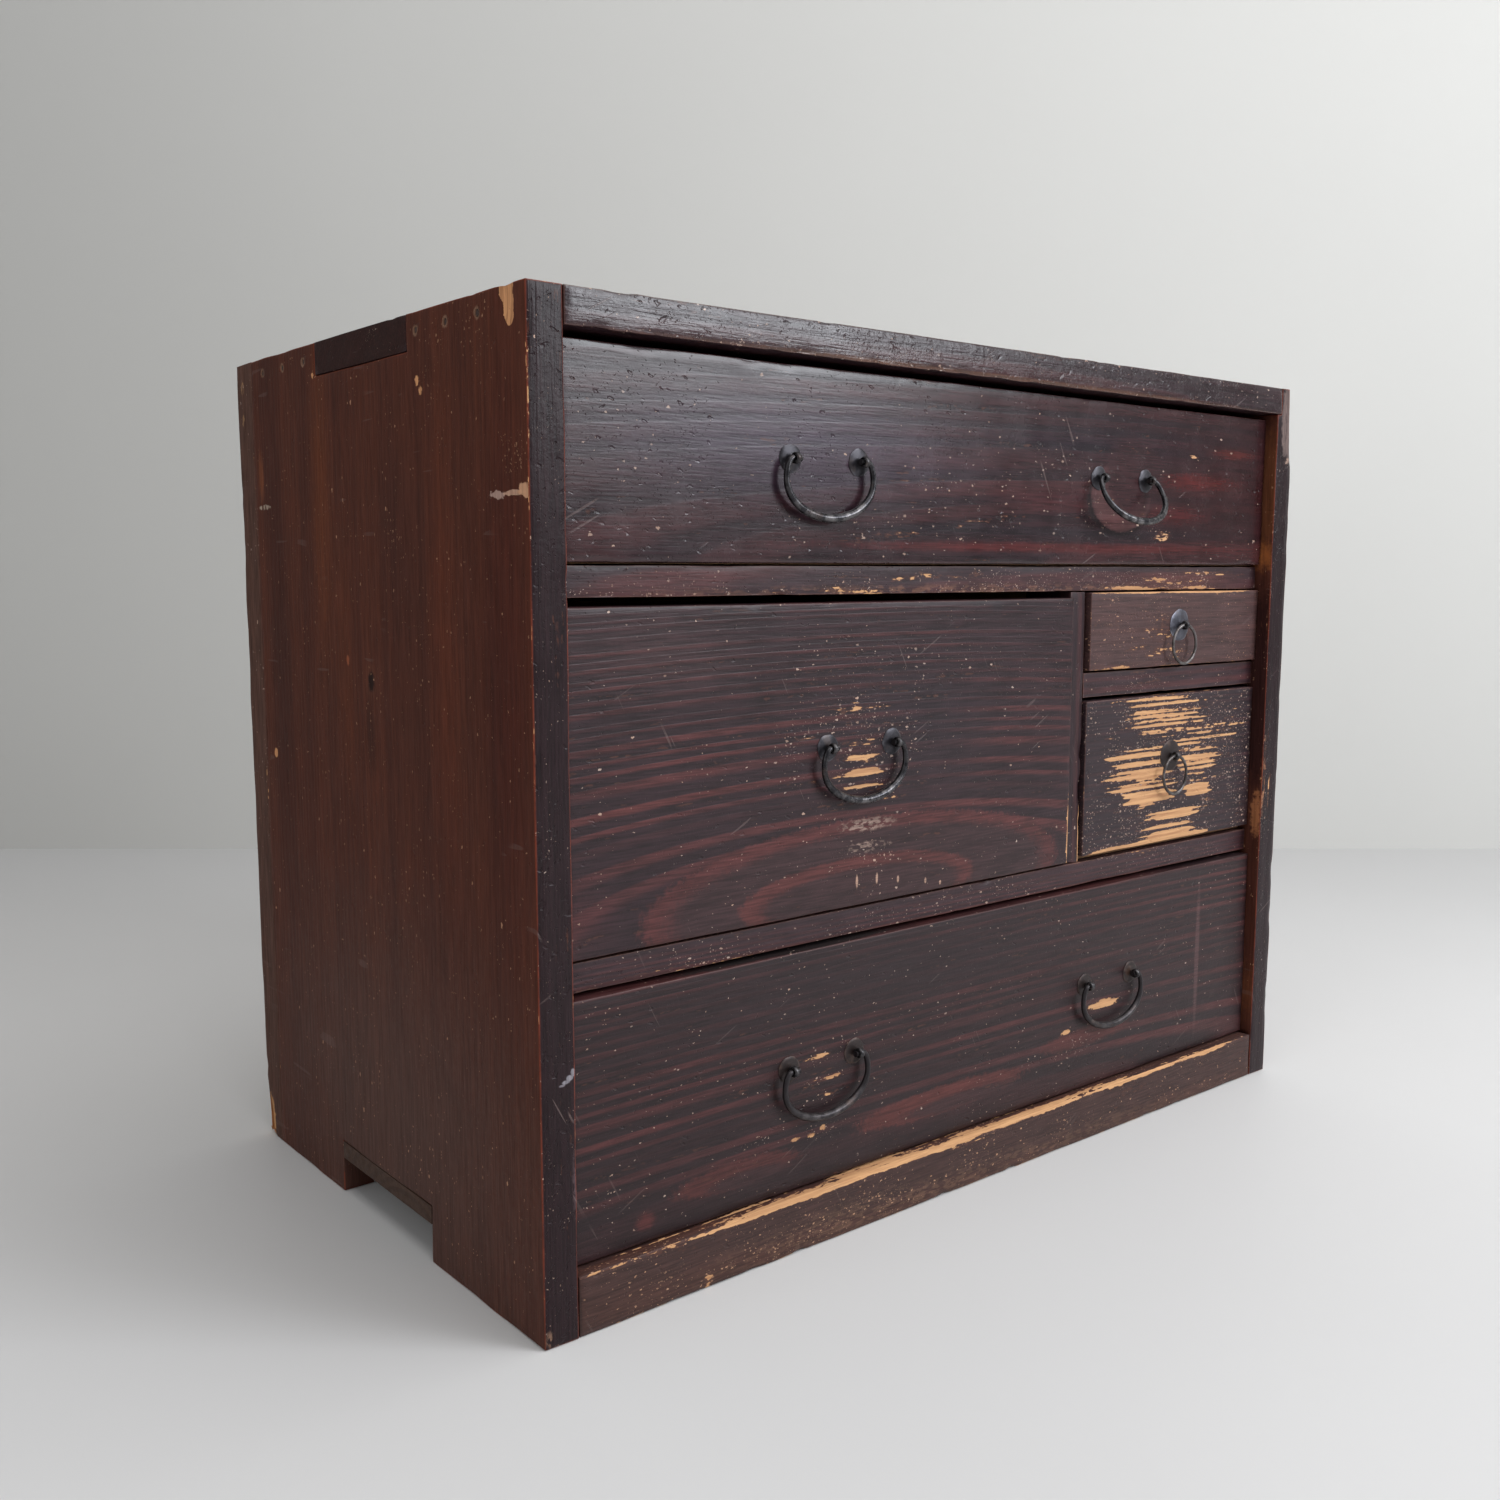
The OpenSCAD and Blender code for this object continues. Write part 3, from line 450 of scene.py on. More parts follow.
def lacquer(name, turn=ALONG_X, pith=(0, -40, 100), taper=0.06, ring=8.0, closing=0.4,
            late_wood=0.35, wander=6.0, red=0.55, edge=0.5, line=0.35,
            line_colour=(104, 72, 66), specks=0.08, speck_scale=300.0, dents=0.25,
            scratches=0.35, gloss=0.36, shine=0.28, patches=(), ground=None, late=None,
            clouds=0.5, bands=0.0, follow=0.35, grain=1.0, relief=1.0,
            wood_light=None, speck_colour=(188, 168, 156)):
    """Worn lacquer over softwood. patches are (centre, radii, kind, ragged, softness), laid in
    order. A kind is "bare", ("calm", share) that fades the rings, ("flecks", amount),
    (share, red, green, blue), or the same after "dry" or "dust"."""
    wood = bpy.context.scene.tansu_wood
    groups = shader_groups()
    material, g, shader = new_material(name)
    point = object_point(g)
    rings, tone, fibre, streak, blob, turned = figure_of(
        g, point, turn, pith, taper, ring, closing, late_wood, wander)
    rub, arris = attribute(g, "rub"), attribute(g, "arris")
    film = g.group(groups["film"], vector=point, rings=rings, streak=streak, blob=blob,
                   fibre=fibre, rub=rub, arris=arris, edge_wear=edge, follow_rings=follow)
    many = g.math("MULTIPLY_ADD", rub, 2.6, specks)
    marks = g.group(groups["knocks"], vector=point, dents=dents, scratches=scratches)
    rough = g.noise(point, 300.0, 3.0, 0.6)

    dark = ground or tuple(wood.lacquer) + (1,)
    warm = late or tuple(wood.lacquer_red) + (1,)
    cloud = g.between(g.noise(g.mapped(turned, scale=(0.25, 1, 1)), 22.0, 3.0), 0.35, 0.68)
    share = g.math("MULTIPLY", g.math("MULTIPLY", rings, g.math(
        "MULTIPLY_ADD", tone, 0.85, 0.15)), red)
    share = g.math("MULTIPLY", share, g.math("MULTIPLY_ADD", cloud, clouds, 1 - clouds * 0.6))
    spots = []
    for centre, radii, kind, ragged, softness in patches:
        spot = g.group(groups["patch"], vector=point, centre=tuple(place(*centre)),
                       radii=tuple(r * MM for r in radii), rough=rough, ragged=ragged,
                       softness=softness)["Patch"]
        if kind[0] == "calm":
            share = g.math("MULTIPLY", share, g.math("MULTIPLY_ADD", spot, -kind[1], 1.0))
        elif kind[0] == "flecks":
            many = g.math("MULTIPLY_ADD", spot, kind[1], many)
        else:
            spots.append((spot, kind))
    if bands:
        broad = g.between(g.noise(g.mapped(turned, scale=(0.07, 1, 1)), 30.0, 2.0), 0.36, 0.66)
        share = g.math("MULTIPLY_ADD", broad, bands, share)
    amount = g.math("MULTIPLY", many, g.math("MULTIPLY_ADD", rings, follow * 1.6,
                                             1 - follow * 0.5))
    flecks = g.group(groups["specks"], vector=turned, scale=speck_scale, amount=amount)["Specks"]
    colour = g.blend(g.math("MULTIPLY", share, 1.0, clamp=True), dark, warm)
    chips, matt = 0.0, 0.0
    for spot, kind in spots:
        if kind == "bare":
            chips = g.math("MAXIMUM", chips, spot)
        elif kind[0] == "matt_and_shade":
            colour = g.blend(g.math("MULTIPLY", spot, kind[1]), colour, srgb(*kind[2:]))
            matt = g.math("MAXIMUM", matt, spot)
        elif kind[0] == "dust":
            broken = g.math("MULTIPLY", spot, g.between(blob, 0.35, 0.75))
            colour = g.blend(g.math("MULTIPLY", broken, kind[1]), colour, srgb(*kind[2:]))
        else:
            colour = g.blend(g.math("MULTIPLY", spot, kind[0]), colour, srgb(*kind[1:]))
    # Fibres, broader streaks and old wax darken and lighten the film a little
    haze = g.noise(point, 38.0, 4.0, 0.6)
    colour = g.shaded(colour, g.weighed(
        ((fibre, 0.56 * grain), (streak, 0.22 * grain), (haze, 0.40 * grain)),
        1.0 - 0.59 * grain))
    colour = g.blend(g.math("MULTIPLY", film["Thin"], 0.55), colour, srgb(92, 56, 44))
    colour = g.blend(g.math("MULTIPLY", film["Line"], line), colour, srgb(*line_colour))
    gone = g.math("MAXIMUM", film["Bare"], chips)
    bare_share = g.math("MULTIPLY_ADD", fibre, 0.45, g.math("MULTIPLY", rings, 0.30), clamp=True)
    bare = g.blend(bare_share, wood_light or tuple(wood.bare) + (1,),
                   tuple(wood.bare_dark) + (1,))
    colour = g.blend(gone, colour, bare)
    flecks = g.math("MULTIPLY", flecks, g.math("SUBTRACT", 1.0, gone))
    pale = g.blend(g.math("MULTIPLY", blob, 0.5), srgb(*speck_colour), srgb(190, 138, 104))
    colour = g.blend(g.math("MULTIPLY", flecks, 0.85), colour, pale)
    lines = g.math("MULTIPLY", marks["Scratches"], 0.30, clamp=True)
    colour = g.blend(lines, colour, srgb(128, 110, 106))
    g.feed(shader.inputs["Base Color"], colour)

    dull = g.math("MULTIPLY_ADD", haze, 0.24, gloss - 0.10)
    dull = g.math("MULTIPLY_ADD", g.math("MAXIMUM", gone, matt), 0.34, dull, clamp=True)
    g.feed(shader.inputs["Roughness"], dull)
    g.bump(shader, g.weighed((
        (fibre, 0.09 * relief), (rings, 0.14 * relief), (streak, 0.06 * relief),
        (marks["Dents"], -0.9), (marks["Scratches"], -0.3), (gone, -0.35), (flecks, -0.35),
        (rough, 0.26 * relief))), 0.6, 0.5)
    shader.inputs["Specular IOR Level"].default_value = shine
    return material


def softwood(name, turn=ALONG_X, pith=(0, -60, 60), taper=0.05, ring=7.0, light=None,
             dark=None, grime=0.35):
    """Bare aged softwood of the drawer boxes, shelves and back."""
    material, g, shader = new_material(name)
    point = object_point(g)
    rings, tone, fibre, streak = figure_of(g, point, turn, pith, taper, ring, 0.3, 0.4, 5)[:4]
    arris = attribute(g, "arris")
    share = g.math("MULTIPLY", rings, g.math("MULTIPLY_ADD", tone, 0.5, 0.4))
    colour = g.blend(share, light or srgb(176, 138, 102), dark or srgb(142, 102, 72))
    colour = g.shaded(colour, g.math("MULTIPLY_ADD", fibre, 0.34, 0.80))
    dirt = g.between(g.noise(point, 9.0, 4.0, 0.6), 0.42, 0.75)
    dirt = g.math("MULTIPLY", g.math("MAXIMUM", dirt, g.between(arris, 0.5, 1.0)), grime)
    colour = g.blend(dirt, colour, srgb(92, 64, 46))
    g.feed(shader.inputs["Base Color"], colour)
    g.feed(shader.inputs["Roughness"], g.math("MULTIPLY_ADD", streak, 0.16, 0.66))
    g.bump(shader, g.math("MULTIPLY_ADD", rings, 0.4, fibre), 0.35, 0.3)
    shader.inputs["Specular IOR Level"].default_value = 0.3
    return material


def iron_finish(name, dark, rubbed, share, metal=0.75, rough=0.36, rusty=0.35):
    """Forged iron: blackened, with brighter metal where it is rubbed and some brown rust."""
    material, g, shader = new_material(name)
    point = object_point(g)
    rub = attribute(g, "rub")
    blotch = g.noise(point, 210.0, 4.0, 0.6)
    bright = g.math("MULTIPLY", g.between(blotch, 0.38, 0.66), g.math(
        "MULTIPLY_ADD", rub, 1.0, share), clamp=True)
    colour = g.blend(bright, dark, rubbed)
    rust = g.between(g.noise(point, 120.0, 3.0), 0.56, 0.72)
    colour = g.blend(g.math("MULTIPLY", rust, rusty), colour, srgb(72, 50, 40))
    g.feed(shader.inputs["Base Color"], colour)
    g.feed(shader.inputs["Metallic"], g.math("MULTIPLY_ADD", rust, -0.3, metal, clamp=True))
    g.feed(shader.inputs["Roughness"], g.math("MULTIPLY_ADD", blotch, 0.22, rough - 0.1))
    height = g.math("MULTIPLY_ADD", g.noise(point, 900.0, 2.0), 0.4, g.noise(point, 260.0, 3.0))
    g.bump(shader, height, 0.3, 0.25)
    return material


# Boards


# How far wear reaches from an arris, in millimetres: rubbing, chips and the finish's mask
RUB_REACH = 1.8
CHIP_REACH = 2.6
MASK_REACH = 8
# Arrises that get worn are sharper than this, in radians, and longer than this, in millimetres
ARRIS_ANGLE = 0.6
ARRIS_LENGTH = 3


def on_plane(axis, at, depth, *rows):
    """Places on a plane across X or Y, depth deep, for patches, rubs and dents. A row gives the
    place and the half size along the plane's two other directions, then what it is."""
    found = []
    for first, second, half_first, half_second, *rest in rows:
        centre, radii = [first, second], [half_first, half_second]
        centre.insert(axis, at)
        radii.insert(axis, depth)
        found.append((centre, radii, *rest))
    return tuple(found)


def value_noise(points, scale, seed):
    """Smooth noise from 0 to 1 at each point, the same on every run."""
    spot = points * scale + seed * 17.31
    cell = np.floor(spot).astype(np.int64)
    part = spot - cell
    part = part * part * (3 - 2 * part)
    total = np.zeros(len(points))
    for corner in np.ndindex(2, 2, 2):
        at = cell + np.array(corner)
        mixed = (at[:, 0] * 73856093) ^ (at[:, 1] * 19349663) ^ (at[:, 2] * 83492791)
        mixed = ((mixed ^ (mixed >> 13)) * 1274126177 + seed * 7919) & 0x7FFFFFFF
        mixed = (mixed ^ (mixed >> 11)) & 0xFFFF
        weight = np.prod(np.where(np.array(corner) == 1, part, 1 - part), axis=1)
        total += weight * (mixed / 0xFFFF)
    return total


def arris_distance(points, ends):
    """Distance from each point to the nearest of the line pieces in ends."""
    nearest = np.full(len(points), 1.0)
    for start, stop in ends:
        along = stop - start
        share = np.clip((points - start) @ along / (along @ along), 0, 1)
        gap = np.linalg.norm(points - start - share[:, None] * along, axis=1)
        nearest = np.minimum(nearest, gap)
    return nearest


def spot_share(points, centre, radii, steepness):
    """1 at the centre of an oval spot and nearly 0 outside it, at each point."""
    away = (points - np.array(place(*centre))) / (np.array(radii) * MM)
    return np.exp(-np.sum(away ** 2, axis=1) ** steepness)


def grid_lines(low, high, spacing):
    """Places for cuts across a board: close together by its arrises, then evenly."""
    if spacing is None:
        return []
    near = [n * MM for n in (1.6, 3.6) if high - low > 4.2 * n * MM]
    lines = [low + n for n in near] + [high - n for n in near]
    first, last = low + 6 * MM, high - 6 * MM
    if last > first:
        count = max(1, round((last - first) / (spacing * MM)))
        lines += [first + (last - first) * i / count for i in range(count + 1)]
    return sorted(lines)


def worn_board(node, body, slot, material, spacing, wear=1.0, chips=1.0, rubs=(), dents=(),
               warp=0.12, kept=(), front=None):
    """A board with the CAD board's shape, its arrises rubbed round and chipped, never larger.
    rubs are (centre, radii, strength) and dents are (centre, radii, depth), in millimetres.
    kept are places (centre, radii) that took no wear. front is the finish of its front edge."""
    wood = bpy.context.scene.tansu_wood
    work = bmesh.new()
    work.from_mesh(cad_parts[node].data)
    bmesh.ops.remove_doubles(work, verts=work.verts, dist=WELD)
    bmesh.ops.dissolve_limit(work, angle_limit=math.radians(1), verts=work.verts[:],
                             edges=work.edges[:])
    arrises = [e for e in work.edges if e.is_manifold and e.is_convex
               and e.calc_face_angle(0) > ARRIS_ANGLE and e.calc_length() > ARRIS_LENGTH * MM]
    ends = np.array([[tuple(v.co) for v in e.verts] for e in arrises])
    bmesh.ops.bevel(work, geom=arrises, offset=wood.arris_round * min(1, wear), segments=2,
                    offset_type="OFFSET", profile=0.6, affect="EDGES", clamp_overlap=True)
    low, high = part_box(node)
    for axis in range(3):
        normal = [0.0, 0.0, 0.0]
        normal[axis] = 1.0
        for line in grid_lines(low[axis], high[axis], spacing[axis]):
            co = [0.0, 0.0, 0.0]
            co[axis] = line
            bmesh.ops.bisect_plane(work, geom=work.verts[:] + work.edges[:] + work.faces[:],
                                   dist=WELD, plane_co=co, plane_no=normal)
    work.normal_update()
    points = np.array([tuple(v.co) for v in work.verts])
    normals = np.array([tuple(v.normal) for v in work.verts])
    gap = arris_distance(points, ends)
    seed = sum(map(ord, node)) % 97
    rub_line = np.exp(-(gap / (RUB_REACH * MM)) ** 2)
    loss = wear * wood.arris_loss * (0.15 + 0.85 * value_noise(points, 45, seed)) * rub_line
    knocks = np.clip(value_noise(points, 110, seed + 1) - 0.66, 0, 1) / 0.34
    sparse = np.clip(value_noise(points, 14, seed + 2) - 0.42, 0, 1) / 0.4
    chip_line = np.exp(-(gap / (CHIP_REACH * MM)) ** 2)
    loss += chips * wood.chip_depth * knocks * sparse * chip_line
    loss += warp * MM * value_noise(points, 11, seed + 3) * np.clip(gap / (6 * MM), 0, 1)
    for centre, radii, depth in dents:
        loss += depth * MM * spot_share(points, centre, radii, 1.5)
    sheltered = np.zeros(len(points))
    for centre, radii in kept:
        sheltered = np.maximum(sheltered, spot_share(points, centre, radii, 4))
    loss *= 1 - 0.7 * sheltered
    points = points - normals * loss[:, None]
    points = np.clip(points, np.array(low), np.array(high))
    for vert, co in zip(work.verts, points):
        vert.co = co
    mesh = bpy.data.meshes.new(node + "_worn")
    work.to_mesh(mesh)
    work.free()
    rub = np.zeros(len(points))
    for centre, radii, strength in rubs:
        rub = np.maximum(rub, strength * spot_share(points, centre, radii, 2))
    arris = np.clip(1 - gap / (MASK_REACH * MM), 0, 1) * (1 - sheltered)
    for name, values in (("arris", arris), ("rub", rub)):
        layer = mesh.attributes.new(name, "FLOAT", "POINT")
        layer.data.foreach_set("value", values.astype(np.float32))
    mesh.shade_smooth()
    mesh.set_sharp_from_angle(angle=BOARD_CREASE)
    mesh.materials.append(material)
    if front:
        mesh.materials.append(front)
        for face in mesh.polygons:
            face.material_index = int(face.normal.y < -0.85 and face.center.y < FRONT + 4 * MM)
    return finished(node + "_worn", mesh, body, slot, material, node)


def finished(name, mesh, body, slot, material, *nodes):
    """Puts a mesh in the scene, gives it its finish and lets it ride on its body."""
    made = bpy.data.objects.new(name, mesh)
    bpy.context.scene.collection.objects.link(made)
    if not mesh.materials:
        mesh.materials.append(material)
    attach(made, body)
    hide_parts(*nodes)
    return made


class Step:
    """What every operator here shares."""
    bl_options = {"REGISTER", "UNDO"}


class TANSU_OT_case_boards(Step, bpy.types.Operator):
    """Side boards, rear strips and the top board"""
    bl_idname = "tansu.case_boards"
    bl_label = "Case boards"

    def execute(self, context):
        wood = context.scene.tansu_wood
        side = dict(turn=ALONG_Z, taper=0.03, ring=6.0, closing=0.2, wander=8.0, red=0.25,
                    gloss=0.58, shine=0.07, ground=tuple(wood.side_dark) + (1,),
                    late=tuple(wood.side_red) + (1,), edge=0.55, line=0.85,
                    line_colour=(130, 62, 44), specks=0.11, dents=0.14, scratches=0.5,
                    clouds=0.8, bands=0.42, follow=0.2, grain=0.6, speck_colour=(190, 146, 116),
                    wood_light=srgb(216, 158, 112))

        def peg_marks(x):
            return on_plane(X, x, 8, *((y, SIDE_PEG_HEIGHT, 3.5, 3.5, (0.9, 128, 98, 80), 0.9, 0.4)
                                    for y in SIDE_PEGS))
        left = lacquer("Side lacquer left", pith=(-290, 128, 300),
                       patches=peg_marks(-325) + on_plane(
            X, -325, 30,
            (240, 430, 20, 150, (0.55, 104, 56, 34), 0.6, 0.95),
            (212, 330, 16, 120, (0.40, 100, 52, 32), 0.6, 0.95),
            (88, 320, 26, 240, (0.30, 100, 48, 30), 0.5, 0.95),
            (140, 400, 30, 90, (0.35, 58, 36, 33), 0.6, 0.95),
            (310, 330, 22, 240, (0.35, 56, 32, 28), 0.5, 0.95),
            (170, 60, 280, 190, (0.72, 86, 66, 60), 0.5, 0.95),
            (28, 340, 44, 190, (0.55, 60, 28, 23), 0.4, 0.95),
            (333, 447, 6.0, 21, (0.65, 120, 68, 42), 0.6, 0.8),
            (178, 326, 9, 13, (0.45, 98, 58, 44), 0.6, 0.6),
            (178, 325, 6, 8, (0.9, 27, 17, 16), 0.9, 0.6),
            (181, 294, 9, 36, (0.45, 38, 25, 23), 0.6, 0.9),
            (209, 336, 2.2, 4, (0.8, 150, 84, 56), 0.8, 0.5),
            (20, 350, 26, 260, (0.25, 80, 36, 28), 0.3, 0.9),
        ) + on_plane(
            X, -325, 8, (182, 512, 60.5, 11.4, ("matt_and_shade", 0.95, 42, 22, 19), 0.0, 0.10),
        ) + on_plane(
            X, -325, 30,
            (18.2, 519, 6.8, 8.5, "bare", 0.6, 0.06),
            (16.4, 510, 5.4, 7.5, "bare", 0.6, 0.06),
            (15.0, 504.5, 4.0, 4.0, "bare", 0.6, 0.06),
        ) + on_plane(
            X, -325, 2,
            (30, 423.6, 8.5, 2.2, (0.9, 176, 146, 134), 1.6, 0.2),
            (13, 424.0, 12, 1.5, (0.9, 186, 148, 126), 1.2, 0.2),
            (3.5, 424.6, 6.5, 3.8, (0.9, 196, 150, 118), 1.8, 0.2),
        ) + on_plane(
            X, -325, 30,
            (107, 480, 3, 2.4, "bare", 2.8, 0.5),
            (111, 485, 2.2, 3, "bare", 2.8, 0.5),
            (330, 427.5, 12, 1.6, ("dust", 0.9, 164, 146, 130), 1.8, 0.3),
            (105, 482, 26, 17, ("flecks", 2.4), 0.6, 0.95),
            (15, 442, 20, 14, ("flecks", 1.8), 0.6, 0.9),
            (66, 500, 60, 16, ("flecks", 0.4), 0.6, 0.9),
            (138, 400, 26, 24, ("flecks", 0.5), 0.6, 0.9),
            (120, 352, 22, 16, ("flecks", 0.7), 0.6, 0.9),
            (170, 60, 160, 90, ("flecks", 0.12), 0.6, 0.9),
            (327, 270, 3.0, 3.6, "bare", 0.8, 0.3),
        ), **side)
        tongues = tuple(((x, 182, 512), (9, 66, 22)) for x in (-325, 325))
        hands = tuple(((x, 182, 22), (9, 66, 12)) for x in (-325, 325))
        edge = dict(turn=ALONG_Z, taper=0.03, ring=4.5, closing=0.2, wander=4.0, red=0.22,
                    edge=0.55, line=0.85, line_colour=(130, 62, 44), specks=0.10, speck_scale=420.0,
                    dents=0.9, scratches=1.2, gloss=0.30, shine=0.17, ground=srgb(34, 21, 24),
                    late=srgb(54, 30, 32), clouds=0.8, relief=1.7)
        left_edge = lacquer("Edge lacquer left", pith=(-300, 60, 240), patches=on_plane(
            Y, 0, 3,
            (-312.6, 135.4, 2.2, 0.8, (0.7, 124, 118, 124), 0.9, 0.5),
            (-310.4, 136.8, 2.6, 1.2, (0.8, 130, 126, 132), 0.9, 0.5),
            (-307.8, 138.6, 2.7, 1.8, (0.8, 132, 128, 134), 0.9, 0.4),
            (-305.8, 140.8, 2.0, 2.8, (0.8, 132, 128, 134), 0.9, 0.4),
            (-305.5, 82, 2.6, 24, ("dust", 0.6, 92, 74, 78), 0.8, 0.8),
            (-305.8, 100, 3, 9, ("flecks", 1.0), 0.5, 0.9),
            (-315.6, 152, 5, 8, ("flecks", 0.8), 0.5, 0.9),
            (-322, 5, 3.5, 6, ("dust", 0.8, 120, 92, 76), 0.8, 0.6)), **edge)
        worn_board("left_side", "carcase", "side_lacquer", left, (4, 4.5, 6), rubs=(
            ((-325, 0.6, 458), (1.6, 1.6, 44), 0.24), ((-325, 246, 501), (8, 5, 3), 0.60),
            ((-325, 0.6, 330), (1.4, 1.6, 60), 0.12)), front=left_edge,
            dents=(((-325, 18.5, 513), (6, 6, 9), 1.3), ((-325, 46, 509), (3, 3, 3), 0.5)),
            kept=hands[:1])
        right = lacquer("Side lacquer right", pith=(290, 60, 240), patches=peg_marks(325) + (
            ((325, 182, 512), (8, 60.5, 11.4), ("matt_and_shade", 0.95, 42, 22, 19), 0.0, 0.10),
        ) + on_plane(
            X, 304, 1.7,
            (5, 300, 60, 92, ("matt_and_shade", 0.8, 44, 24, 24), 0.3, 0.3),
            (5, 445, 30, 60, ("matt_and_shade", 0.9, 98, 58, 38), 0.8, 0.4),
            (5, 398, 30, 15, ("matt_and_shade", 0.9, 150, 88, 48), 0.9, 0.8),
            (4, 205, 6, 23, ("matt_and_shade", 0.9, 158, 102, 68), 1.2, 0.5),
            (4, 66, 30, 34, ("matt_and_shade", 0.7, 104, 60, 38), 0.8, 0.9),
        ) + (
            ((321, 0, 495), (12, 12, 27), ("matt_and_shade", 0.9, 106, 90, 86), 0.5, 0.15),
        ), **side)
        right_edge = lacquer("Edge lacquer right", pith=(300, 60, 240), patches=on_plane(
            Y, 0, 3,
            (306.0, 232, 3.0, 36, ("dust", 0.9, 156, 106, 76), 1.3, 0.6),
            (308, 215, 6, 50, ("flecks", 0.9), 0.6, 0.9),
            (318.5, 497, 9.5, 31, ("matt_and_shade", 0.9, 104, 88, 84), 0.8, 0.25),
            (316, 497, 2, 28, ("dust", 0.6, 66, 50, 50), 0.8, 0.5),
            (319, 468, 8, 3, ("dust", 0.8, 150, 124, 110), 1.4, 0.5)), **edge)
        worn_board("right_side", "carcase", "side_lacquer", right, (4, 4.5, 6), rubs=(
            ((304.5, 0.5, 330), (2, 1.6, 150), 0.22), ((313, 0, 240), (8, 3, 30), 0.16),
            ((325, 150, 300), (8, 120, 60), 0.14)),
            dents=(((326, 3, 497), (4.2, 18, 28), 2.6),), kept=hands[1:], front=right_edge)
        strip = lacquer("Rear strip lacquer", turn=ALONG_Z, pith=(0, 300, 200), taper=0.03,
                        ring=5.0, red=0.30, ground=srgb(84, 60, 52), late=srgb(98, 66, 54),
                        edge=0.5, specks=0.12, gloss=0.62, shine=0.05, dents=0.1,
                        wood_light=srgb(214, 166, 118), patches=(
            ((-325, 364, 13), (30, 8.5, 17), "bare", 0.9, 0.25),
            ((-325, 360, 505), (30, 3.5, 5), ("dust", 0.8, 150, 116, 84), 0.9, 0.5),
            ((-325, 360, 484), (30, 3.5, 5), ("dust", 0.8, 150, 116, 84), 0.9, 0.5)))
        for name, x in (("left_rear_strip", -325), ("right_rear_strip", 325)):
            worn_board(name, "carcase", "side_lacquer", strip, (5, 5, 7), chips=1.2, rubs=(
                ((x, 368, 12), (10, 9, 17), 1.0), ((x, 345, 430), (5, 1.5, 30), 0.35),
                ((x, 345, 250), (5, 1.5, 40), 0.30)),
                dents=(((x, 370, 6), (9, 9, 22), 3.0),))
        board = dict(pith=(-60, 150, 470), taper=0.08, ring=9, red=0.30, edge=0.42, line=0.5,
                     line_colour=(112, 84, 74), specks=0.12, scratches=0.8)
        top_edge = lacquer("Top edge lacquer", dents=1.5, relief=2.5, gloss=0.25, shine=0.41,
                           patches=(
            ((0, 0, 502), (330, 3, 2.6), (0.6, 92, 62, 44), 0.5, 0.6),), **board)
        top = lacquer("Top board lacquer", dents=0.5, gloss=0.36, shine=0.20, patches=(
            ((-325, 150, 512), (30, 60, 20), ("flecks", 0.5), 0.5, 0.9),
            ((-325, 182, 512), (3, 80, 22), ("matt_and_shade", 0.95, 44, 21, 17), 0.3, 0.3),
            ((325, 182, 512), (3, 80, 22), ("matt_and_shade", 0.95, 44, 21, 17), 0.3, 0.3)), **board)
        worn_board("top_board", "carcase", "side_lacquer", top, (4, 6, 3), wear=1.2,
                   front=top_edge, chips=1.4, rubs=(
            ((-150, 0, 502), (160, 3, 3), 0.22), ((120, 0, 519.5), (160, 3, 2), 0.18),
            ((60, 180, 520), (170, 90, 4), 0.16)), kept=tongues)
        return {"FINISHED"}


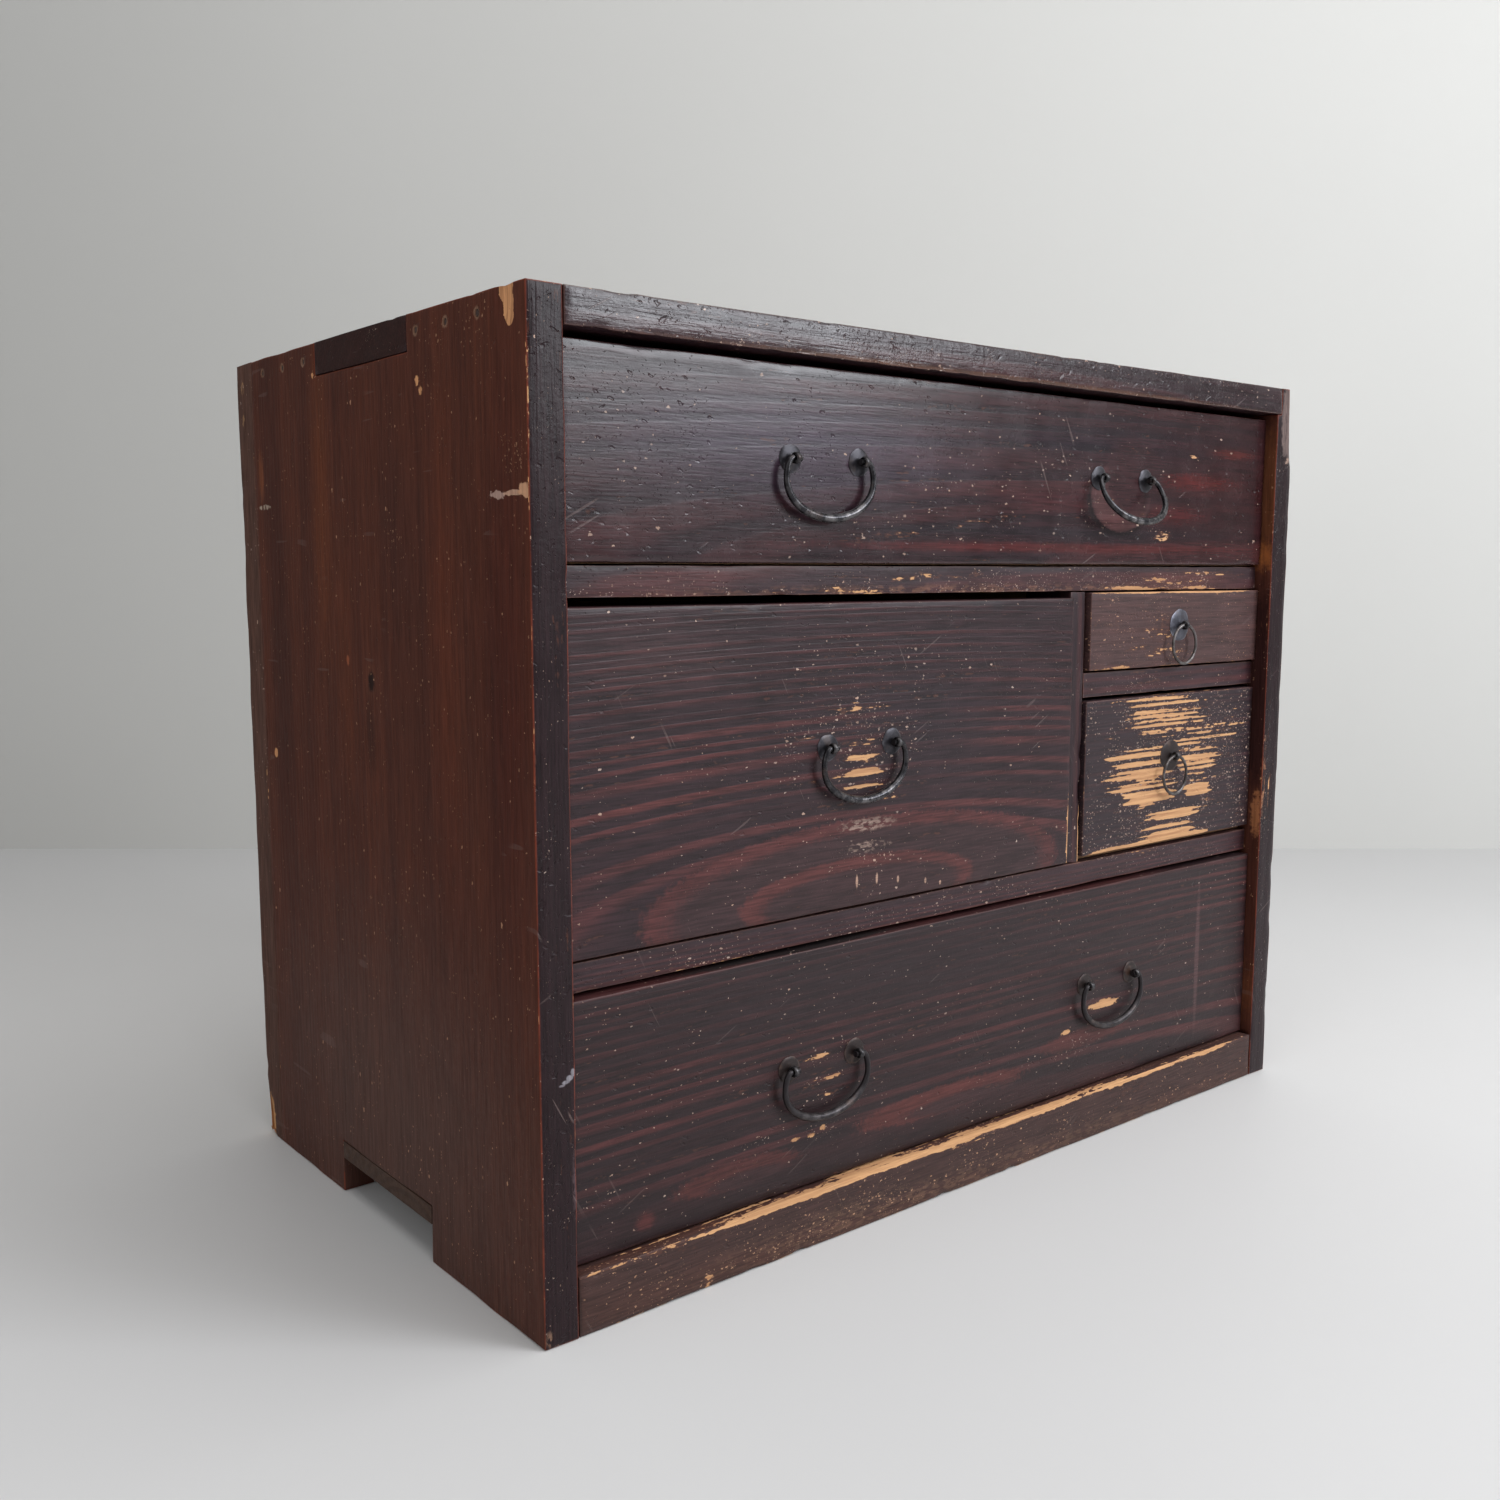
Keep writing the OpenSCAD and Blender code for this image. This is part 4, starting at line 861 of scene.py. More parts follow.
class TANSU_OT_front_frame(Step, bpy.types.Operator):
    """Base rail, the rails between the drawers and the post"""
    bl_idname = "tansu.front_frame"
    bl_label = "Rails and post"

    def execute(self, context):
        base = lacquer("Base rail lacquer", pith=(80, -60, 30), taper=0.05, ring=7, red=0.5,
                       edge=0.9, specks=0.36, gloss=0.50, shine=0.25, ground=srgb(60, 41, 38),
                       speck_colour=(190, 150, 120), relief=1.3,
                       late=srgb(84, 50, 38), patches=(
            ((0, 0, 4), (330, 6, 14), ("dust", 0.35, 112, 84, 66), 0.8, 0.9),
            ((-60, 0, 14), (250, 6, 16), ("flecks", 0.8), 0.8, 0.9),
            ((-120, 0, 12), (130, 6, 12), ("dust", 0.3, 106, 80, 64), 0.8, 0.9),
            ((-305, 0, 12), (3, 6, 30), (0.7, 34, 24, 22), 0.3, 0.6)))
        worn_board("base_rail", "carcase", "front_lacquer", base, (3, 3, 2.5), wear=1.6,
                   chips=2.0, rubs=(
            ((-60, 4, 33.2), (260, 6, 3.0), 0.74), ((-60, 0.4, 31.6), (250, 1.6, 2.2), 0.78),
            ((190, 0.4, 32), (110, 1.6, 1.8), 0.78), ((-222, 0, 5), (4, 3, 5), 0.7),
            ((-120, 0, 10), (60, 4, 6), 0.18)))
        rails = lacquer("Rail lacquer", pith=(120, -30, 372), taper=0.07, ring=6, red=0.55,
                        edge=0.5, specks=0.25, gloss=0.40, ground=srgb(50, 33, 37),
                        line=0.5, line_colour=(120, 84, 72), relief=1.3, patches=(
            ((0, 12.5, 376), (330, 3, 5), ("dust", 0.5, 120, 84, 66), 0.8, 0.9),
            ((205, 12.5, 382), (90, 3, 9), (0.4, 92, 52, 46), 0.5, 0.9)))
        worn_board("upper_rail", "carcase", "front_lacquer", rails, (3, None, 2.5), rubs=on_plane(
            Y, 12.5, 4,
            (205, 380, 80, 5.0, 0.58), (180, 375.4, 100, 2.0, 0.74),
            (20, 375.5, 90, 3, 0.36), (-160, 376, 130, 3, 0.24),
            (240, 385, 45, 2, 0.54), (40, 382, 240, 8, 0.12)))
        worn_board("lower_rail", "carcase", "front_lacquer", rails, (3, None, 2.5), rubs=on_plane(
            Y, 12.5, 3,
            (102, 191, 9, 1.6, 0.70), (150, 191, 50, 1.6, 0.48),
            (-180, 177.5, 120, 2.4, 0.30), (0, 184, 90, 5, 0.08)))
        worn_board("short_rail", "carcase", "front_lacquer", rails, (3, None, 2.5), rubs=(
            ((170, 12.5, 312), (30, 3, 5), 0.12),))
        post = lacquer("Post lacquer", turn=ALONG_Z, pith=(60, -20, 290), taper=0.05, ring=6,
                       red=0.30, edge=0.35, specks=0.16, gloss=0.42, patches=(
            # A near-black strip on the post's right face and arris is painted shade in the gap to
            # its right
            ((103, 28, 346), (1.6, 20, 34), ("matt_and_shade", 0.9, 16, 10, 10), 0.2, 0.2),))
        worn_board("divider_post", "carcase", "front_lacquer", post, (2.5, None, 4), rubs=(
            ((103, 12.5, 212), (1.4, 2.5, 24), 0.95), ((87.5, 12.5, 215), (1.0, 2.5, 26), 0.6)))
        return {"FINISHED"}


class TANSU_OT_inner_boards(Step, bpy.types.Operator):
    """Base board, shelves, partition and back boards"""
    bl_idname = "tansu.inner_boards"
    bl_label = "Inner boards and back"

    def execute(self, context):
        shelf = softwood("Shelf wood", turn=ALONG_X, pith=(0, 150, 60), light=srgb(178, 136, 98),
                         dark=srgb(128, 86, 56))
        for name in ("upper_shelf", "lower_shelf", "small_shelf"):
            worn_board(name, "carcase", "bare_wood", shelf, (14, 12, None), wear=0.5, chips=0.3)
        base = softwood("Base board wood", pith=(0, 150, -40), light=srgb(64, 48, 41),
                        dark=srgb(44, 33, 30), grime=0.3)
        worn_board("base_board", "carcase", "bare_wood", base, (9, 9, None), wear=0.7, chips=0.5)
        upright = softwood("Partition wood", turn=ALONG_Y, pith=(40, 100, 260))
        worn_board("partition", "carcase", "bare_wood", upright, (None, 14, 14), wear=0.4,
                   chips=0.2)
        back = softwood("Back wood", pith=(60, 420, 240), taper=0.07, ring=9,
                        light=srgb(150, 112, 82), dark=srgb(104, 70, 50), grime=0.55)
        for name in ("back_upper", "back_lower"):
            worn_board(name, "carcase", "bare_wood", back, (8, None, 7), wear=0.8, chips=0.8)
        return {"FINISHED"}


class TANSU_OT_drawer_fronts(Step, bpy.types.Operator):
    """The five lacquered drawer fronts"""
    bl_idname = "tansu.drawer_fronts"
    bl_label = "Drawer fronts"

    def execute(self, context):
        top = lacquer("Top drawer lacquer", pith=(260, -20, 386), taper=0.10, ring=11,
                      closing=0.1, wander=8, red=0.45, late_wood=0.5, edge=0.3, specks=0.06,
                      dents=0.7, scratches=0.9, relief=0.55, gloss=0.23, shine=0.34,
                      patches=on_plane(
            Y, FACES["top"], 9,
            (-190, 445, 190, 75, ("calm", 0.7), 0.4, 0.95),
            (60, 425, 120, 36, ("flecks", 0.16), 0.5, 0.95),
            (150, 470, 200, 26, (0.6, 34, 26, 33), 0.5, 0.9),
            (270, 440, 170, 90, (0.7, 42, 12, 14), 0.4, 0.95),
            (60, 470, 120, 8, (0.5, 32, 27, 35), 0.6, 0.9),
            (220, 449, 76, 8, (0.5, 96, 26, 22), 0.7, 0.9),
            (262, 470, 40, 6, (0.55, 84, 30, 24), 0.7, 0.9),
            (190, 425, 60, 9, (0.5, 84, 26, 26), 0.7, 0.9),
            (60, 432, 80, 11, (0.45, 76, 32, 34), 0.6, 0.95),
            (60, 402, 280, 4.5, (0.55, 92, 34, 32), 0.6, 0.8),
            (60, 395, 270, 4, (0.4, 34, 24, 28), 0.5, 0.9),
            (20, 412, 290, 5.0, (0.7, 33, 26, 31), 0.6, 0.8),
            # A blue-purple tint over the left part is a painted sheen of the lamps' reflection
            (-150, 455, 190, 45, (0.5, 60, 50, 66), 0.4, 0.95),
            # Under the raised right bail these three ovals leave a dark crescent at its lower left,
            # a painted shadow of the bail, with a lighter pink-brown fill inside it, and lay the
            # drawer's dark colour back over the upper part
            (131, 433, 36, 24, (0.75, 22, 13, 15), 0.1, 0.12),
            (133, 436.5, 34, 24.5, (0.75, 88, 57, 57), 0.1, 0.12),
            (145, 450, 38, 31, (0.92, 48, 27, 30), 0.3, 0.4)))
        worn_board("top_drawer_front", "top_drawer", "front_lacquer", top, (3.5, 5, 3),
                   chips=0.5, warp=0.15, rubs=on_plane(
            Y, 8.5, 5,
            (-60, 445, 60, 14, 0.08), (-30, 412, 120, 10, 0.12),
            (130, 425, 40, 12, 0.14), (213, 466, 6, 2.2, 0.55),
            (180, 412, 12, 5, 0.36), (60, 455, 70, 12, 0.09)))
        # Short upright nicks below the big drawer's bail: middle and half height
        nicks = tuple((x, z, 1.1, tall, (0.85, 164, 132, 114), 1.0, 0.4)
                      for x, z, tall in ((-106, 208, 5), (-90, 208, 3.6), (-72.5, 205, 2.6),
                                         (-49, 201, 2.2), (-36, 198, 1.6)))
        big = lacquer("Big drawer lacquer", pith=(-100, 10, 198), taper=0.19, ring=8.6,
                      closing=0.75, late_wood=0.30, wander=7, red=0.9, edge=0.3, specks=0.08,
                      dents=0.4, scratches=0.8, gloss=0.38, clouds=0.75, follow=0.45, grain=1.25,
                      relief=1.2, patches=on_plane(
            Y, FACES["big"], 9,
            (60, 345, 240, 70, ("calm", 0.7), 0.4, 0.95),
            (-190, 352, 190, 46, ("calm", 0.6), 0.4, 0.95),
            (-40, 290, 80, 60, ("calm", 0.6), 0.4, 0.95),
            (-112, 292, 80, 28, ("flecks", 0.9), 0.6, 0.95),
            (-90, 338, 120, 26, ("flecks", 0.5), 0.6, 0.95),
            (-95, 216, 70, 22, ("flecks", 0.4), 0.6, 0.95),
            (-92, 204, 171, 43, (0.85, 78, 39, 38), 0.16, 0.06),
            (-90, 203, 163, 37.5, (0.9, 46, 31, 33), 0.14, 0.14),
            (-100, 202.5, 97, 21.5, (0.85, 80, 40, 38), 0.16, 0.08),
            (-98, 201, 87, 16.5, (0.9, 47, 31, 33), 0.16, 0.18),
            (-300, 214, 36, 30, (0.35, 70, 36, 38), 0.5, 0.95),
            (-60, 300, 120, 60, (0.40, 38, 31, 37), 0.5, 0.95),
            (-98, 241, 27, 4.6, ("dust", 0.9, 134, 112, 102), 0.9, 0.5),
            (-98, 228, 20, 3.6, ("dust", 0.8, 134, 112, 102), 1.2, 0.5),
            (11, 366, 8, 6, (0.7, 34, 26, 30), 0.8, 0.8),
            (-250, 345, 90, 34, (0.3, 66, 46, 46), 0.5, 0.95), *nicks))
        worn_board("big_drawer_front", "big_drawer", "front_lacquer", big, (3, 5, 2.5),
                   chips=0.4, warp=0.08, rubs=on_plane(
            Y, 8.5, 5,
            (-104, 281, 21, 2.3, 0.64), (-102, 272.5, 21, 2.7, 0.92),
            (-104, 264.5, 21, 2.2, 0.84), (-103, 292, 24, 4, 0.26),
            (-106, 304, 34, 14, 0.22), (-108, 311, 5, 2.2, 0.7),
            (-106, 301, 14, 1.6, 0.5),
            (-105, 278, 58, 42, 0.10),
            ) + on_plane(Y, 8.5, 3, (86, 216, 1.2, 24, 0.95)))
        small = lacquer("Small drawer lacquer", pith=(200, -10, 300), taper=0.06, ring=6,
                        red=0.35, edge=0.7, line=0.6, specks=1.1, speck_scale=280.0,
                        dents=0.3, gloss=0.48, ground=srgb(66, 45, 44), late=srgb(86, 54, 50),
                        follow=0.1, speck_colour=(202, 160, 130), patches=on_plane(
            Y, FACES["small"], 9, (176, 343, 52, 26, ("flecks", 1.2), 0.5, 0.9)))
        worn_board("small_drawer_front", "small_drawer", "front_lacquer", small,
                   (2.5, 5, 2.2), chips=0.6, warp=0.08, rubs=(
            ((205, 9.5, 373), (98, 4, 1.4), 0.72), ((165, 9.5, 345), (50, 5, 16), 0.20),
            ((125, 9.5, 322), (26, 4, 2.0), 0.60), ((190, 9.5, 330), (34, 5, 6), 0.24)))
        medium = lacquer("Medium drawer lacquer", pith=(180, -8, 150), taper=0.05, ring=4.8,
                         closing=0.3, late_wood=0.36, wander=4, red=0.40, edge=0.6,
                         line=0.5, specks=1.0, speck_scale=280.0, dents=0.3, gloss=0.42,
                         ground=srgb(42, 31, 35), late=srgb(70, 40, 40), follow=0.5)
        worn_board("medium_drawer_front", "medium_drawer", "front_lacquer", medium,
                   (2.5, 5, 2.2), chips=1.0, warp=0.1, rubs=on_plane(
            Y, 10, 6,
            (190, 286, 52, 13, 0.70), (240, 272, 44, 22, 0.50),
            (166, 257, 46, 9, 0.70), (166, 246, 40, 4.4, 1.0),
            (232, 250, 28, 12, 0.72), (172, 237, 46, 5, 0.74),
            (178, 229, 30, 7.0, 1.12), (234, 230, 18, 6, 0.95),
            (208, 214, 38, 3.8, 1.05), (196, 207, 36, 3.0, 0.68),
            (208, 199, 44, 4.8, 0.98), (200, 250, 90, 50, 0.16),
            ) + on_plane(Y, 10, 5, (150, 197, 46, 2.8, 0.70)) + on_plane(
                Y, 10, 4, (205, 300.5, 100, 1.6, 0.7)))
        bottom = lacquer("Bottom drawer lacquer", pith=(-110, 14, 36), taper=0.07, ring=7,
                         closing=0.5, late_wood=0.34, wander=9, red=0.55, edge=0.3,
                         specks=0.14, clouds=0.8, dents=0.4, scratches=0.5, gloss=0.42,
                         ground=srgb(37, 24, 26), relief=1.2, patches=on_plane(
            # A near-black strip along the drawer's top arris is painted shade in the gap above it
            Y, FACES["bottom"], 30, (-150, 175.2, 210, 1.7, ("matt_and_shade", 0.9, 16, 10, 10), 0.1, 0.1),
        ) + on_plane(
            Y, FACES["bottom"], 9,
            (-129, 64, 26, 7, ("flecks", 2.2), 0.6, 0.9),
            (-180, 70, 18, 5, ("flecks", 1.2), 0.6, 0.9),
            (95, 62, 70, 14, ("flecks", 0.9), 0.6, 0.9),
            (-262, 62, 44, 12, ("flecks", 0.9), 0.6, 0.9),
            (89.4, 77.3, 5, 1.9, "bare", 1.4, 0.2),
            (-132.6, 65.8, 3.2, 1.8, "bare", 2.2, 0.4),
            (-124, 72.5, 2.6, 2.2, "bare", 2.2, 0.4),
            (-141, 63.4, 3.0, 1.4, "bare", 2.2, 0.4),
            (-153, 64, 3.4, 1.2, "bare", 2.2, 0.4),
            (-60, 150, 340, 36, ("calm", 0.75), 0.4, 0.95),
            (240, 104, 3.5, 72, (0.35, 104, 74, 74), 0.2, 0.6),
            (-30, 59, 84, 10, (0.7, 86, 42, 38), 0.6, 0.25),
            (-16, 55, 66, 6, (0.8, 46, 31, 33), 0.5, 0.5),
            (-195, 55, 50, 9, (0.65, 82, 40, 37), 0.6, 0.3),
            (-188, 51, 38, 5.5, (0.8, 44, 30, 32), 0.5, 0.5),
            (-258, 46, 9, 7, (0.7, 86, 40, 38), 0.6, 0.8),
            (110, 70, 56, 8, (0.65, 82, 40, 37), 0.6, 0.4),
            (-60, 150, 330, 30, (0.4, 38, 28, 31), 0.4, 0.95)))
        worn_board("bottom_drawer_front", "bottom_drawer", "front_lacquer", bottom,
                   (3.5, 5, 2.8), chips=0.4, warp=0.08, rubs=on_plane(
            Y, 8, 5,
            (-133, 95.5, 18, 2.4, 0.88), (-136, 107, 14, 3.0, 0.52),
            (-129, 83, 9, 2.2, 0.64), (130, 90, 19, 4.0, 0.82)))
        return {"FINISHED"}


class TANSU_OT_drawer_boxes(Step, bpy.types.Operator):
    """Sides, backs and bottoms of the drawers"""
    bl_idname = "tansu.drawer_boxes"
    bl_label = "Drawer boxes"

    def execute(self, context):
        sides = softwood("Drawer side wood", turn=ALONG_Y, pith=(30, 100, 560), ring=6)
        backs = softwood("Drawer back wood", pith=(30, 300, 560), ring=6)
        bottoms = softwood("Drawer bottom wood", pith=(60, 180, -80), taper=0.08, ring=9,
                           light=srgb(170, 132, 98), dark=srgb(136, 98, 68))
        for k in DRAWERS:
            body = k + "_drawer"
            for part in ("left", "right"):
                worn_board(f"{body}_{part}", body, "bare_wood", sides, (None, 12, 12),
                           wear=0.5, chips=0.4)
            worn_board(body + "_back", body, "bare_wood", backs, (12, None, 12), wear=0.5,
                       chips=0.4)
            worn_board(body + "_bottom", body, "bare_wood", bottoms, (14, 14, None), wear=0.4,
                       chips=0.2)
        return {"FINISHED"}


# Fittings. Plates, pins and pegs are made once about the origin, and a Geometry Nodes tree
# sets them in rows. Bails and rings are made in their own places.


def row_tree():
    """A Geometry Nodes tree that sets copies of a fitting in a row, each turned a little."""
    tree = bpy.data.node_groups.new("Row of fittings", "GeometryNodeTree")
    tree.is_modifier = True
    for label, kind, default in (
            ("Fitting", "NodeSocketGeometry", None), ("Count", "NodeSocketInt", 2),
            ("First", "NodeSocketVector", None), ("Step", "NodeSocketVector", None),
            ("Turn axis", "NodeSocketVector", (0, 1, 0)), ("Most turn", "NodeSocketFloat", 0.1),
            ("Seed", "NodeSocketInt", 1), ("Finish", "NodeSocketMaterial", None)):
        socket = tree.interface.new_socket(label, in_out="INPUT", socket_type=kind)
        if default is not None:
            socket.default_value = default
    tree.interface.new_socket("Row", in_out="OUTPUT", socket_type="NodeSocketGeometry")
    g = Graph(tree)
    given = g.node("NodeGroupInput").outputs
    line = g.node("GeometryNodeMeshLine", {
        "Count": given["Count"], "Start Location": given["First"], "Offset": given["Step"]})
    share = g.node("FunctionNodeRandomValue", data_type="FLOAT")
    g.feed(share.inputs[2], -1.0)
    g.feed(share.inputs[3], 1.0)
    g.feed(share.inputs["Seed"], given["Seed"])
    turn = g.math("MULTIPLY", share.outputs[1], given["Most turn"])
    rotation = g.vector("SCALE", given["Turn axis"], scale=turn)
    copies = g.node("GeometryNodeInstanceOnPoints", {
        "Points": line.outputs[0], "Instance": given["Fitting"], "Rotation": rotation})
    solid = g.node("GeometryNodeRealizeInstances", {"Geometry": copies.outputs[0]})
    painted = g.node("GeometryNodeSetMaterial", {
        "Geometry": solid.outputs[0], "Material": given["Finish"]})
    g.feed(g.node("NodeGroupOutput").inputs[0], painted.outputs[0])
    return tree


def row_of(mesh, material, count, first, step, axis=(0, 1, 0), turn=0.1, seed=1):
    """The mesh of a row of fittings, with the modifier applied and removed."""
    tree = bpy.data.node_groups.get("Row of fittings") or row_tree()
    holder = bpy.data.objects.new("row", mesh)
    bpy.context.scene.collection.objects.link(holder)
    modifier = holder.modifiers.new("Row", "NODES")
    modifier.node_group = tree
    values = {"Count": count, "First": first, "Step": step, "Turn axis": axis,
              "Most turn": turn, "Seed": seed, "Finish": material}
    for item in tree.interface.items_tree:
        if item.in_out == "INPUT" and item.name in values:
            modifier[item.identifier] = values[item.name]
    bpy.context.view_layer.update()
    made = bpy.data.meshes.new_from_object(
        holder.evaluated_get(bpy.context.evaluated_depsgraph_get()))
    holder.modifiers.remove(modifier)
    bpy.data.objects.remove(holder)
    return made


def joined(name, meshes, material):
    """One mesh from several, in one finish."""
    work = bmesh.new()
    for mesh in meshes:
        work.from_mesh(mesh)
    for face in work.faces:
        face.material_index = 0
    made = bpy.data.meshes.new(name)
    work.to_mesh(made)
    work.free()
    made.materials.append(material)
    made.shade_smooth()
    made.set_sharp_from_angle(angle=CREASE)
    return made


def tube(work, path, radii, sides, squeeze=None, closed=False, bumps=0.0, seed=0):
    """Sweeps a round or flattened section along a path in bmesh work. squeeze is a direction and
    the share of the radius kept in it, and bumps is how far hammer marks go in."""
    count = len(path)
    rings = []
    previous = None
    for i, point in enumerate(path):
        if closed:
            ahead, behind = path[(i + 1) % count], path[i - 1]
        else:
            ahead, behind = path[min(i + 1, count - 1)], path[max(i - 1, 0)]
        heading = (ahead - behind).normalized()
        if previous is None:
            side = heading.orthogonal().normalized()
            if squeeze:
                side = (squeeze[0] - heading * squeeze[0].dot(heading)).normalized()
        else:
            side = (previous - heading * previous.dot(heading)).normalized()
        previous = side
        other = heading.cross(side)
        ring = []
        for j in range(sides):
            angle = 2 * math.pi * j / sides
            flat = squeeze[1] if squeeze else 1.0
            spot = point + side * (radii[i] * flat * math.cos(angle)) \
                + other * (radii[i] * math.sin(angle))
            ring.append(spot)
        rings.append(ring)
    spots = np.array([[tuple(s) for s in ring] for ring in rings])
    if bumps:
        flat_spots = spots.reshape(-1, 3)
        centres = np.repeat(np.array([tuple(p) for p in path]), sides, axis=0)
        inward = centres - flat_spots
        inward /= np.linalg.norm(inward, axis=1)[:, None]
        depth = bumps * value_noise(flat_spots, 260, seed)
        spots = (flat_spots + inward * depth[:, None]).reshape(spots.shape)
    verts = [[work.verts.new(tuple(s)) for s in ring] for ring in spots]
    last = count if closed else count - 1
    for i in range(last):
        a, b = verts[i], verts[(i + 1) % count]
        for j in range(sides):
            n = (j + 1) % sides
            work.faces.new((a[j], a[n], b[n], b[j]))
    if not closed:
        for ring, way in ((verts[0], -1), (verts[-1], 1)):
            work.faces.new(ring[::way])
    return verts


def mesh_from(work, name, turn=None, move=(0, 0, 0), rub=None):
    """A smooth mesh with outward normals, and a rub value at each of its points."""
    bmesh.ops.remove_doubles(work, verts=work.verts, dist=WELD)
    bmesh.ops.recalc_face_normals(work, faces=work.faces)
    points = np.array([tuple(v.co) for v in work.verts])
    if turn is not None:
        work.transform(turn)
    work.transform(Matrix.Translation(move))
    made = bpy.data.meshes.new(name)
    work.to_mesh(made)
    work.free()
    values = rub(points) if rub else np.zeros(len(points))
    layer = made.attributes.new("rub", "FLOAT", "POINT")
    layer.data.foreach_set("value", values.astype(np.float32))
    made.shade_smooth()
    made.set_sharp_from_angle(angle=CREASE)
    return made


# Sizes of the fittings in millimetres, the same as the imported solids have, and a bail's angle
POST_SPACING = 50.6
PINTLE = 1.6
GRIP = 2.5
HALF_BAIL = 32.0
BAIL_DROP = 31.5
SHOULDER = 11.0
SHOULDER_START = (POST_SPACING + 3.2) / 2 + 0.5
PINTLE_TIP = (POST_SPACING - 3.2) / 2 - 2.0
STANDOFF = 5.0
EYE = 3.3
EYE_WIDTH = 3.2
RING_RADIUS = 13.5
RING_WIRE = 1.2
BOARD = 18.0
RAISED = 27.0
BAIL_PAIR = 266.0
BAIL_PLATE = 8.0
RING_PLATE = 11.5
PLATE_HOLE = 1.5
EYE_PLAY = 0.25


def pull_places():
    """For each drawer: the pull's height and the middle of each of its pulls."""
    found = {}
    for k in DRAWERS:
        pins_low, pins_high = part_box(k + "_drawer_pins")
        height = (pins_low.z + pins_high.z) / 2 / MM
        middle = (pins_low.x + pins_high.x) / 2 / MM
        two = k in ("top", "bottom")
        xs = [-BAIL_PAIR / 2, BAIL_PAIR / 2] if two else [middle]
        found[k] = (height, xs)
    return found


def bail_path():
    """Centre line of a bail's right half and its mirror image, hanging, and its radii."""
    reach = HALF_BAIL - SHOULDER_START
    points = []
    for i in range(10):
        x = PINTLE_TIP + (SHOULDER_START - PINTLE_TIP) * i / 10
        end = max(0.0, 1 - i / 1.6)
        points.append((x, 0.0, PINTLE - 0.06 + 0.35 * min(1, end)))
    for i in range(14):
        a = math.pi / 2 * i / 14
        points.append((SHOULDER_START + reach * math.sin(a), -SHOULDER * (1 - math.cos(a)),
                       PINTLE + 0.1))
    for i in range(33):
        a = math.pi / 2 * i / 32
        drop = SHOULDER + (BAIL_DROP - SHOULDER) * math.sin(a)
        swell = (drop - SHOULDER) / (BAIL_DROP - SHOULDER)
        points.append((HALF_BAIL * math.cos(a), -drop, PINTLE + 0.1 + (GRIP - PINTLE - 0.1) * swell))
    mirror = [(-x, z, r) for x, z, r in points[-2::-1]]
    return points + mirror


def bail_mesh(name, x, y, z, angle, seed):
    """One forged bail about its axis, turned out by angle and set in its eyes."""
    iron = bpy.context.scene.tansu_iron
    work = bmesh.new()
    line = bail_path()
    path = [Vector((px * MM, 0, pz * MM)) for px, pz, r in line]
    radii = [r * MM for px, pz, r in line]
    tube(work, path, radii, iron.wire_sides, bumps=iron.hammer, seed=seed)

    def rub(points):
        low = np.clip((-points[:, 2] / MM - 20) / 8, 0, 1)
        return 0.42 * low * (0.5 + 0.5 * value_noise(points, 160, seed + 5))
    return mesh_from(work, name, Matrix.Rotation(math.radians(-angle), 4, "X"),
                     place(x, y, z), rub)


class TANSU_OT_bails(Step, bpy.types.Operator):
    """The five swinging iron bails"""
    bl_idname = "tansu.bails"
    bl_label = "Bails"

    def execute(self, context):
        iron = context.scene.tansu_iron
        black = iron_finish("Black iron", tuple(iron.iron) + (1,), tuple(iron.rubbed) + (1,),
                            0.12, metal=0.8, rough=0.27)
        dull = iron_finish("Dull iron", srgb(42, 38, 40), srgb(104, 98, 98), 0.06, metal=0.65,
                           rough=0.38, rusty=0.5)
        places = pull_places()
        for node, k, side, angle in (("top_left_bail", "top", 0, 0),
                                     ("top_right_bail", "top", 1, RAISED),
                                     ("big_bail", "big", 0, 0),
                                     ("bottom_left_bail", "bottom", 0, 0),
                                     ("bottom_right_bail", "bottom", 1, 0)):
            height, xs = places[k]
            mesh = bail_mesh(node, xs[side], FACES[k] - STANDOFF, height, angle,
                             3 + len(node) + side)
            finish = dull if k == "bottom" else black
            finished(node + "_wrought", mesh, node, "black_iron", finish, node)
        return {"FINISHED"}


class TANSU_OT_rings(Step, bpy.types.Operator):
    """The two ring pulls"""
    bl_idname = "tansu.rings"
    bl_label = "Ring pulls"

    def execute(self, context):
        iron = context.scene.tansu_iron
        grey = iron_finish("Grey iron", srgb(72, 66, 64), tuple(iron.rubbed) + (1,), 0.4,
                           metal=0.7, rough=0.36)
        places = pull_places()
        for k in WITH_RING:
            height, xs = places[k]
            work = bmesh.new()
            turns = 96
            path = []
            for i in range(turns):
                a = 2 * math.pi * i / turns
                path.append(Vector((RING_RADIUS * math.sin(a), 0,
                                    RING_RADIUS * math.cos(a) - RING_RADIUS)) * MM)
            radii = [(RING_WIRE - 0.10 + 0.10 * math.cos(4 * math.pi * i / turns)) * MM
                     for i in range(turns)]
            tube(work, path, radii, 16, closed=True, bumps=0.06 * MM, seed=ord(k[0]))
            mesh = mesh_from(work, k + "_ring", move=place(
                xs[0], FACES[k] - STANDOFF, height))
            finished(k + "_ring_wrought", mesh, k + "_ring", "worn_iron", grey, k + "_ring")
        return {"FINISHED"}


